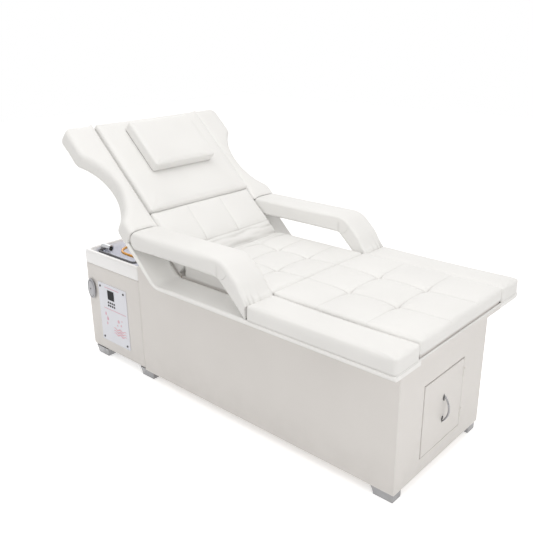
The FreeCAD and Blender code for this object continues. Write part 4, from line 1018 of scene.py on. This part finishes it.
pleat_end = smooth_step(share, 0.86, 1.0)
end = np.minimum(sole_end, face_end) - 0.4 * inset - pleats * smooth_step(height, 20 * MM, 50 * MM)
along = start + share * (end - start)
height = height - 0.6 * pleats * pleat_end * smooth_step(rise, 0.0, 15 * MM)
off_x = along - ARM_REACH
leg_points = np.column_stack([fold_at.x + off_x * cos(LEAN) + height * sin(LEAN), bar_y,
                              LEDGE - off_x * sin(LEAN) + height * cos(LEAN)])
over_elbow(leg_points, inset + 0.7 * MM * (1 - smooth_step(along, -TUCK, 12 * MM)))
ends_held = np.maximum(1 - smooth_step(share, 0.0, 0.25), smooth_step(share, 0.85, 1.0))
# The pleats at the leg's foot get painted shade, stronger where they are deeper
arm_leg = swelled_bar("arm_leg_cushion_right", leg_points, faces, ends_held, 0.17 * pleats / MM * pleat_end,
                      fold_at.x, LEDGE + 1 * MM, LEAN)
settle(arm_leg, "arm_leg_right", "leatherette", "arm_leg_right", fill=0.85)
settle(mirrored(arm_leg, "arm_leg_cushion_left"), "arm_leg_left", "leatherette", "arm_leg_left", fill=0.85)


# Wings of the back, with the board's edge under the same cover
def wing_plan(start, inner):
    """Plan of the near wing: straight by the armrest, scooped at the shoulder, rounded at the head."""
    scoop_at, scoop_r, scoop_deep, ease_r = 444 * MM, 215 * MM, 80 * MM, 40 * MM
    head_r = 35 * MM
    length = 755 * MM + HEAD_PROUD
    centre = (scoop_at, -EDGE + scoop_deep - scoop_r)
    rise = scoop_r - scoop_deep
    run = sqrt((scoop_r + ease_r) ** 2 - (rise + ease_r) ** 2)
    slope = atan2(rise + ease_r, run)
    right_angle = pi / 2
    plan = [(start, inner), (start, -EDGE)]
    plan += turn_points((scoop_at - run, -EDGE + ease_r), ease_r, -right_angle, -slope, 8)
    plan += turn_points(centre, scoop_r, pi - slope, slope, 30)[1:]
    plan += turn_points((scoop_at + run, -EDGE + ease_r), ease_r, slope - pi, -right_angle, 8)[1:]
    plan += turn_points((length - head_r, -EDGE + head_r), head_r, -right_angle, 0.0, 8)
    plan += [(length, inner)]
    return plan


def filled_plan(plan, step):
    """Add points along the long runs of a closed plan."""
    full = []
    for first, last in zip(plan, plan[1:] + plan[:1]):
        count = max(1, round(dist(first, last) / step))
        for i in range(count):
            share = i / count
            full.append((first[0] + (last[0] - first[0]) * share, first[1] + (last[1] - first[1]) * share))
    return full


def drawn_in(plan, depth):
    """Move a closed plan inwards."""
    ring = np.array(plan)
    ahead = np.roll(ring, -1, axis=0) - ring
    behind = ring - np.roll(ring, 1, axis=0)
    ahead /= np.linalg.norm(ahead, axis=1)[:, None]
    behind /= np.linalg.norm(behind, axis=1)[:, None]
    way = ahead + behind
    way /= np.linalg.norm(way, axis=1)[:, None]
    area = np.sum(ring[:, 0] * np.roll(ring[:, 1], -1) - np.roll(ring[:, 0], -1) * ring[:, 1])
    side = 1.0 if area > 0 else -1.0
    normal = np.column_stack([-way[:, 1], way[:, 0]]) * side
    return ring + normal * depth[:, None]


wing_high = flat_box("wing_pad_right")[1]
board_low = flat_box("back_board")[0]
wing_inner = wing_high.y
wing_front = wing_high.z - LEDGE
wing_back = board_low.z - LEDGE
FRONT_ROUND = 20 * MM
# Radius of the hollow that each wing leaves for the rear end of its armrest
BED_R = 37 * MM
plan = filled_plan(wing_plan(HINGE.x - wing_high.x, wing_inner), 8 * MM)
profile = [(wing_back, 7 * MM), (wing_back + 2 * MM, 2 * MM), (wing_back + 7 * MM, 0.0)]
for turn in quarter(8):
    profile.append((wing_front - FRONT_ROUND * (1 - sin(turn)), FRONT_ROUND * (1 - cos(turn))))
plan_y = np.array([y for u, y in plan])
inner_ease = 1 - 0.85 * smooth_step(plan_y, wing_inner - 30 * MM, wing_inner)
wing_rings = []
for rise, depth in profile:
    ring = []
    reach = BED_R ** 2 - (rise - ARM_UP) ** 2
    for u, y in drawn_in(plan, depth * inner_ease):
        if reach > 0:
            u = max(u, ARM_REACH + sqrt(reach) - 0.6 * rear_pull(y))
        ring.append((HINGE.x - u, y, LEDGE + rise))
    wing_rings.append(ring)
wing = stacked("wing_cushion_right", pad_hide, wing_rings)
modify(wing, "REMESH", mode="VOXEL", voxel_size=4.5 * MM)
modify(wing, "SMOOTH", factor=0.5, iterations=3)
swell(wing, np.zeros(len(wing.data.vertices)), 1.0, 3 * MM)
subdivide(wing)
wing.data.shade_smooth()
tip_up(wing)
settle(wing, "back", "leatherette", "wing_pad_right", fill=0.9)
settle(mirrored(wing, "wing_cushion_left"), "back", "leatherette", "wing_pad_left", fill=0.9)


# Boards under the pads, cut where the rolled edge pieces take over
def middle_of(name, source, half, material):
    """Middle of a board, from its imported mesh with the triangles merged."""
    mesh = nodes[source].data.copy()
    mesh.materials.clear()
    mesh.materials.append(material)
    work = bmesh.new()
    work.from_mesh(mesh)
    bmesh.ops.remove_doubles(work, verts=work.verts, dist=1e-5)
    bmesh.ops.dissolve_limit(work, angle_limit=radians(1.0), verts=work.verts, edges=work.edges)
    for way in (-1, 1):
        everything = work.verts[:] + work.edges[:] + work.faces[:]
        cut = bmesh.ops.bisect_plane(work, geom=everything, plane_co=(0, way * half, 0), plane_no=(0, way, 0),
                                     clear_outer=True)
        rim = [e for e in cut["geom_cut"] if isinstance(e, bmesh.types.BMEdge)]
        bmesh.ops.holes_fill(work, edges=rim)
    work.to_mesh(mesh)
    work.free()
    mesh.shade_flat()
    return add_mesh(name, mesh)


SPLIT = PAD_EDGE - 4 * MM
settle(middle_of("deck_middle", "deck_board", SPLIT, board_hide), "base", "leatherette", "deck_board")
settle(middle_of("back_middle", "back_board", SPLIT, board_hide), "back", "leatherette", "back_board")

# Ledge with its rolled lip, one cover from the foot end over the hinge and up behind the armrest
BEND_R = 50 * MM
LEDGE_END = 240 * MM
LEDGE_SAG, SAG_RUN = 3.6 * MM, 120 * MM
LIP_R = 8.5 * MM
bend_run = BEND_R * tan(LEAN / 2)
bend_x = HINGE.x + bend_run
ledge_t = deck_high.z - deck_low.z
back_t = LEDGE - board_low.z
ledge_w = EDGE - SPLIT
lip_at = ledge_w - LIP_R


def ledge_sag(past_bend):
    """How far the lip is pressed down near the bend, which leaves room for a lowered armrest."""
    return LEDGE_SAG * (1 - smooth_step(past_bend, 0.0, SAG_RUN))


ledge_path = []
for x in np.linspace(deck_high.x, bend_x, 60):
    ledge_path.append((x, LEDGE, 0.0, ledge_t, ledge_sag(x - bend_x)))
for turn in np.linspace(0, LEAN, 16)[1:]:
    x = bend_x - BEND_R * sin(turn)
    z = LEDGE + BEND_R * (1 - cos(turn))
    ledge_path.append((x, z, turn, ledge_t + (back_t - ledge_t) * turn / LEAN, LEDGE_SAG))
for u in np.linspace(bend_run, LEDGE_END, 18)[1:]:
    x = HINGE.x - u * cos(LEAN)
    z = LEDGE + u * sin(LEAN)
    ledge_path.append((x, z, LEAN, back_t, ledge_sag(u - bend_run)))
section = [(0.0, -14 * MM), (7.5 * MM, -14 * MM), (9 * MM, -6 * MM), (12 * MM, -4 * MM), (30 * MM, -3.5 * MM),
           (60 * MM, -4.5 * MM), (95 * MM, -5 * MM), (lip_at - 18 * MM, -4.5 * MM),
           (lip_at - 9 * MM, -3.5 * MM)]
for turn in np.radians([125, 100, 80, 60, 35, 10, -15, -40, -60]):
    section.append((lip_at + LIP_R * cos(turn), -LIP_R + LIP_R * sin(turn)))
ledge_rings = []
for x, z, turn, thick, sag in ledge_path:
    ring = []
    for w, rise in section + [(ledge_w - 5 * MM, -thick + 1 * MM), (ledge_w - 9 * MM, -thick), (0.0, -thick)]:
        if x == deck_high.x and w < 10 * MM:
            rise = -thick if rise == -thick else -4.5 * MM
        pressed = sag * smooth_step(w, 60 * MM, lip_at - 9 * MM)
        rise = max(rise, -thick) * (1 - pressed / thick) - pressed
        ring.append((x + rise * sin(turn), -SPLIT - w, z + rise * cos(turn)))
    ledge_rings.append(ring)
# The ledge takes the lighter leatherette, painted light against the armrests' shade
ledge = stacked("ledge_cover_right", brightened_ledge_hide, ledge_rings)
modify(ledge, "EDGE_SPLIT", split_angle=radians(60))
ledge_twin = mirrored(ledge, "ledge_cover_left")
for piece in (ledge, ledge_twin):
    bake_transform(piece)
    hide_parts("deck_board", "back_board")

# Base skirt: near side, foot end and far side under one cover, open at the cupboard
SKIRT_ROUND = 4 * MM
end_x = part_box("base_end_panel")[1].x
skirt_t = skirt_high.y - skirt_low.y
half = -skirt_low.y
turn_x, turn_y = end_x - SKIRT_ROUND, half - SKIRT_ROUND
inner_x, inner_y = end_x - skirt_t, half - skirt_t
skirt_plan = [(skirt_low.x, -half)]
skirt_plan += turn_points((turn_x, -turn_y), SKIRT_ROUND, -pi / 2, 0.0, 7)
skirt_plan += turn_points((turn_x, turn_y), SKIRT_ROUND, 0.0, pi / 2, 7)
skirt_plan += [(skirt_low.x, half), (skirt_low.x, inner_y), (inner_x, inner_y), (inner_x, -inner_y),
               (skirt_low.x, -inner_y)]
skirt = stacked("base_skirt", board_hide,
                [[(x, y, z) for x, y in skirt_plan] for z in (skirt_low.z, skirt_high.z)])
HINGE_GAP, LATCH_GAP = 1.2 * MM, 6.5 * MM
opening = block("door_opening", (end_x - 2 * skirt_t, door_low.y - LATCH_GAP, door_low.z - HINGE_GAP),
                (end_x + skirt_t, door_high.y + HINGE_GAP, door_high.z + LATCH_GAP), board_hide)
modify(skirt, "BOOLEAN", object=opening, operation="DIFFERENCE", solver="EXACT")
bpy.data.objects.remove(opening)
round_edges(skirt, 2 * MM, 3)
settle(skirt, "base", "leatherette", "base_side_near", "base_side_far", "base_end_panel")

door = block("door_panel", door_low, door_high, board_hide)
round_edges(door, 3 * MM, 4)
settle(door, "door", "leatherette", "door")

# Bow handle, thick in the middle with flat leaf-shaped ends
HANDLE_SIDES = 14
BOW_END = 0.94
LEAF_L, LEAF_W, LEAF_T = 26 * MM, 5.5 * MM, 3.2 * MM
handle_low, handle_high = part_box("door_handle")
handle_mid = (handle_low.z + handle_high.z) / 2
handle_half = 0.9 * (handle_high.z - handle_low.z) / 2
handle_out = 0.8 * (handle_high.x - end_x - 5 * MM)
bow = []
for share in np.linspace(-BOW_END, BOW_END, 33):
    lift = handle_out * (1 - (share / BOW_END) ** 2)
    wide = (2.6 + 2.4 * (1 - abs(share) ** 2)) * MM
    deep = (2.0 + 1.8 * (1 - abs(share) ** 3)) * MM
    centre = (end_x + 2.2 * MM + lift, 0, handle_mid + share * handle_half)
    bow.append(oval(centre, (deep, 0, 0), (0, wide, 0), HANDLE_SIDES))
# The bow takes the darker chrome, a painted dark reflection
handle = stacked("bow_handle", reflection_darkened_chrome, bow)
subdivide(handle)
settle(handle, "door", "chrome", "door_handle")
leaf_stacks = []
for end_way in (-1, 1):
    rings = []
    for share in np.linspace(0.0, 1.0, 12):
        wide = LEAF_W * sin(pi * (0.12 + 0.86 * share) ** 0.8) + 0.2 * MM
        deep = (LEAF_T * (1 - 0.75 * share) + 0.3 * MM) / 2
        z = handle_mid + end_way * (handle_half - LEAF_L * (1 - share) + 2 * MM)
        rings.append(oval((end_x + deep, 0, z), (deep, 0, 0), (0, wide, 0), HANDLE_SIDES))
    leaf_stacks.append(rings)
settle(stacked("handle_leaves", dark_metal, *leaf_stacks), "door", "chrome", "door_handle")


# Basin cabinet and basin
def plan_ring(inset, head_r, base_r, z):
    """Cabinet's plan, drawn in: head_r at the head corners, base_r at the corners next to the base."""
    x0, x1 = tank_low.x + inset, tank_high.x - inset
    y0, y1 = tank_low.y + inset, tank_high.y - inset
    corners = ((x1 - base_r, y0 + base_r, base_r), (x1 - base_r, y1 - base_r, base_r),
               (x0 + head_r, y1 - head_r, head_r), (x0 + head_r, y0 + head_r, head_r))
    ring = []
    for number, (x, y, radius) in enumerate(corners):
        start = (number - 1) * pi / 2
        ring += [(px, py, z) for px, py in turn_points((x, y), radius, start, start + pi / 2, 9)]
    return ring


TANK_R, TANK_BASE_R, TANK_FOOT = 26 * MM, 9 * MM, 20 * MM
tank_rings = []
for turn in quarter(6):
    inset = TANK_FOOT * (1 - sin(turn))
    lift = TANK_FOOT * (1 - cos(turn))
    tank_rings.append(plan_ring(inset, max(TANK_R - inset, 4 * MM), 6 * MM, tank_low.z + lift))
for inset, z in ((0.0, tank_low.z + 60 * MM), (0.0, tank_high.z - 8 * MM), (0.8 * MM, tank_high.z - 3 * MM),
                 (3 * MM, tank_high.z), (12 * MM, tank_high.z), (12 * MM, tank_low.z + 14 * MM)):
    tank_rings.append(plan_ring(inset, TANK_R, TANK_BASE_R, z))
settle(stacked("tank_cover", board_hide, tank_rings), "base", "leatherette", "tank_shell")

# Rings of the basin as inset, height and how far they belong to the bowl
RIM_ROUND, BOWL_LIP, BOWL_ROUND = 11 * MM, 8 * MM, 40 * MM
rim_z0, rim_z1 = tank_high.z, rim_high.z
bowl_floor = rim_low.z + 6 * MM
levels = [(24.5 * MM, bowl_floor - 6 * MM, 0.0), (20 * MM, bowl_floor + 20 * MM, 0.0),
          (19 * MM, rim_z0 + 1 * MM, 0.0), (4 * MM, rim_z0 + 1 * MM, 0.0), (1 * MM, rim_z0 + 2.5 * MM, 0.0),
          (0.0, rim_z0 + 5 * MM, 0.0), (0.0, rim_z1 - 12 * MM, 0.0)]
for turn in quarter(6)[1:]:
    levels.append((RIM_ROUND * (1 - cos(turn)), rim_z1 - RIM_ROUND * (1 - sin(turn)), 0.0))
for turn in quarter(5):
    levels.append((17 * MM + BOWL_LIP * sin(turn), rim_z1 - BOWL_LIP * (1 - cos(turn)), 0.3 * turn))
levels += [(26 * MM, rim_z1 - 30 * MM, 1.0), (32 * MM, bowl_floor + 45 * MM, 1.0)]
for turn in quarter(7):
    inset = 34 * MM + BOWL_ROUND * (1 - cos(turn))
    levels.append((inset, bowl_floor + BOWL_ROUND * (1 - sin(turn)), 1.0))
levels.append((110 * MM, bowl_floor - 1 * MM, 1.0))
basin_rings = []
for inset, z, inside in levels:
    head_r = max(TANK_R - inset * 0.3, 4 * MM) if inset < 25 * MM else 42 * MM
    base_r = max(14 * MM - inset * 0.3, 4 * MM) if inset < 25 * MM else 42 * MM
    basin_rings.append(plan_ring(inset, head_r, base_r, z))
basin = stacked("wash_basin", basin_white, basin_rings)
bowl = np.repeat([inside for inset, z, inside in levels], len(basin_rings[0]))
set_attribute(basin, "bowl", bowl[:len(basin.data.vertices)])
settle(basin, "base", "white_gloss", "basin")

# Chrome feet, hollowed at their head ends
foot_low, foot_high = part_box("feet")
FOOT_L, FOOT_W, FOOT_HOLLOW = 94 * MM, 52 * MM, 16 * MM
tank_join = (tank_high.x + skirt_low.x) / 2
foot_stacks = []
for foot_x in (foot_low.x, tank_join - FOOT_L / 2, foot_high.x - FOOT_L):
    outline = []
    for share in np.linspace(0, 1, 9):
        outline.append((foot_x + FOOT_HOLLOW * sin(share * pi / 2), foot_high.z * (1 - share)))
    outline += [(foot_x + FOOT_L, 0.0), (foot_x + FOOT_L, foot_high.z)]
    for foot_y in (foot_low.y, foot_high.y - FOOT_W):
        foot_stacks.append([[(x, y, z) for x, z in outline] for y in (foot_y, foot_y + FOOT_W)])
feet = stacked("chrome_feet", foot_chrome, *foot_stacks)
round_edges(feet, 1.6 * MM, 3)
settle(feet, "base", "chrome", "feet")

# Oval knob: a low dome with a groove near its edge, on a round neck
knob_low, knob_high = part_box("waste_knob")
knob_at = (knob_low + knob_high) / 2
knob_w, knob_h = (knob_high.x - knob_low.x) / 2, (knob_high.z - knob_low.z) / 2
KNOB_SIDES = 48
ROUND_UNDER = 0.31


def dial_rings(*sizes):
    """Rings of the knob, by share of its size and millimetres out of the wall; small ones are round."""
    rings = []
    for size, out in sizes:
        tall = knob_h if size > ROUND_UNDER else knob_w
        centre = (knob_at.x, tank_low.y - out * MM, knob_at.z)
        rings.append(oval(centre, (knob_w * size, 0, 0), (0, 0, tall * size), KNOB_SIDES))
    return rings


dial = dial_rings(
    (0.30, -6.0), (0.30, 5.6), (0.90, 5.8), (0.98, 6.6), (1.0, 8.2), (0.985, 10.0), (0.95, 11.2),
    (0.88, 11.8), (0.84, 11.2), (0.80, 11.2), (0.77, 12.4), (0.6, 13.4), (0.4, 14.0), (0.16, 14.3),
    (0.13, 14.1), (0.12, 12.5), (0.03, 12.4))
settle(stacked("waste_dial", knob_metal, dial), "waste_knob", "chrome", "waste_knob")
groove = dial_rings((0.79, 10.8), (0.79, 11.6), (0.835, 11.6), (0.835, 10.8), (0.79, 10.8))
dot = dial_rings((0.13, 12.0), (0.13, 14.6), (0.10, 15.0), (0.02, 15.1))
settle(stacked("dial_marks", dark_metal, groove, dot), "waste_knob", "chrome")

# Black lining inside the open spout: painted shade in its bore
spout_low, spout_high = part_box("tap_body")
SPOUT_BORE = 10.6 * MM
SPOUT_Z = spout_high.z - 16 * MM
spout_y = (spout_low.y + spout_high.y) / 2
mouth = []
for back, radius in ((14 * MM, 0.3 * MM), (13 * MM, SPOUT_BORE), (4 * MM, SPOUT_BORE),
                     (3 * MM, SPOUT_BORE - 1 * MM), (9 * MM, SPOUT_BORE - 1.5 * MM), (9.5 * MM, 0.3 * MM)):
    mouth.append(oval((spout_high.x - back, spout_y, SPOUT_Z), (0, radius, 0), (0, 0, radius), 24))
settle(stacked("spout_painted_shade", rubber, mouth), "base", "black_rubber")

# Control panel
plate = block("panel_face", panel_low, panel_high, panel_white)
round_edges(plate, 2.2 * MM, 4)
settle(plate, "base", "acrylic", "panel_plate")


# Print on the panel: two rules, drops, bubbles and waves
def thin_shapes(name, outlines, material):
    """Flat printed shapes on the panel, given as outlines in x and z."""
    depths = (panel_low.y + 0.1 * MM, panel_low.y - 0.35 * MM)
    stacks = [[[(x, y, z) for x, z in outline] for y in depths] for outline in outlines]
    obj = stacked(name, material, *stacks)
    obj.data.shade_flat()
    settle(obj, "base", "acrylic")


def rule(x0, x1, z, thick):
    return [(x0, z - thick / 2), (x1, z - thick / 2), (x1, z + thick / 2), (x0, z + thick / 2)]


def wave(x0, x1, z, thick, sway, turns):
    """A waving band that thins out at both ends."""
    xs = np.linspace(x0, x1, 40)
    mid = z + sway * np.sin((xs - x0) / (x1 - x0) * turns * 2 * pi)
    fade = thick / 2 * np.sin(np.linspace(0.25, pi - 0.25, len(xs)))
    return list(zip(xs, mid - fade)) + list(zip(xs[::-1], (mid + fade)[::-1]))


def drop(x, z, size):
    """A falling drop, pointed at the top."""
    outline = []
    for a in np.linspace(0, 2 * pi, 28, endpoint=False):
        pinch = 0.5 * (1 - cos(a))
        outline.append((x + size * sin(a) * pinch ** 0.8, z + size * 1.35 * cos(a)))
    return outline


def bubble(x, z, size):
    return turn_points((x, z), size, 0, 2 * pi, 25)[:-1]


px0, px1, pz1 = panel_low.x, panel_high.x, panel_high.z
marks = [rule(px0 + 52 * MM, px0 + 160 * MM, pz1 - 16 * MM, 2.6 * MM),
         rule(px0 + 34 * MM, px1 - 10 * MM, pz1 - 122 * MM, 2.4 * MM)]
for right, down, size in ((44, 150, 7), (56, 172, 9), (50, 198, 6)):
    marks.append(drop(px0 + right * MM, pz1 - down * MM, size * MM))
thin_shapes("panel_rules", marks, ink)
pale_marks = []
for down in (212, 225, 238):
    pale_marks.append(wave(px0 + 96 * MM, px1 - 18 * MM, pz1 - down * MM, 8 * MM, 4 * MM, 2.5))
for right, down, size in ((140, 168, 8), (158, 184, 5), (130, 190, 4), (166, 160, 3.5)):
    pale_marks.append(bubble(px0 + right * MM, pz1 - down * MM, size * MM))
thin_shapes("panel_waves", pale_marks, pale_ink)

# Sewn lines, one piece for each body, and the piping along the foot end
THREAD_RISE = Vector((0, 0, 0.3 * MM))
for body, pad in (("base", "seat_cushion"), ("leg_rest", "leg_cushion"), ("back", "lower_back_cushion")):
    lift = TIP if body == "back" else Matrix()
    lines = [[lift @ (Vector(p) + THREAD_RISE) for p in chain] for chain in sewn_lines[pad]]
    row = along_lines("stitches_" + body, lines, stitch_tree, Pitch=7 * MM, Length=5 * MM,
                      Thickness=0.45 * MM, Material=thread)
    settle(row, body, "leatherette")
piping_y = np.linspace(-EDGE + 8 * MM, EDGE - 8 * MM, 60)
foot_line = [(deck_high.x - 2 * MM, y, LEDGE - 0.5 * MM) for y in piping_y]
piping = along_lines("foot_piping", [foot_line], welt_tree, Step=7 * MM, Thickness=4 * MM, Material=cord_hide)
settle(piping, "base", "leatherette")

# Finishes of the hard nodes that keep their CAD shape
finishes = (
    (chrome, "tap_body tap_lever drain_strainer"),
    (brass, "halo_tube"),
    (hose_rubber, "tap_hose"),
    (rubber, "panel_keys"),
    (glass_dark, "display_window"),
    (hinge_paint, "door_hinge_fixed door_hinge_moving"),
    (tank_metal, "water_heater"),
    (board_hide, "leg_board"),
    (ply, "base_floor base_bulkhead rear_top_board cover_board"),
    (dark_metal, "halo_clips panel_screws arm_lug_right arm_lug_left back_lever leg_lever"),
    (zinc, "inlet_stubs back_hinge_fixed back_hinge_moving back_hinge_pin arm_hinge_pins back_rod leg_rod"),
    (grey_plastic, "drain_trap power_inlet back_motor leg_motor pump control_box"))
for material, names in finishes:
    for name in names.split():
        nodes[name].data.materials.clear()
        nodes[name].data.materials.append(material)
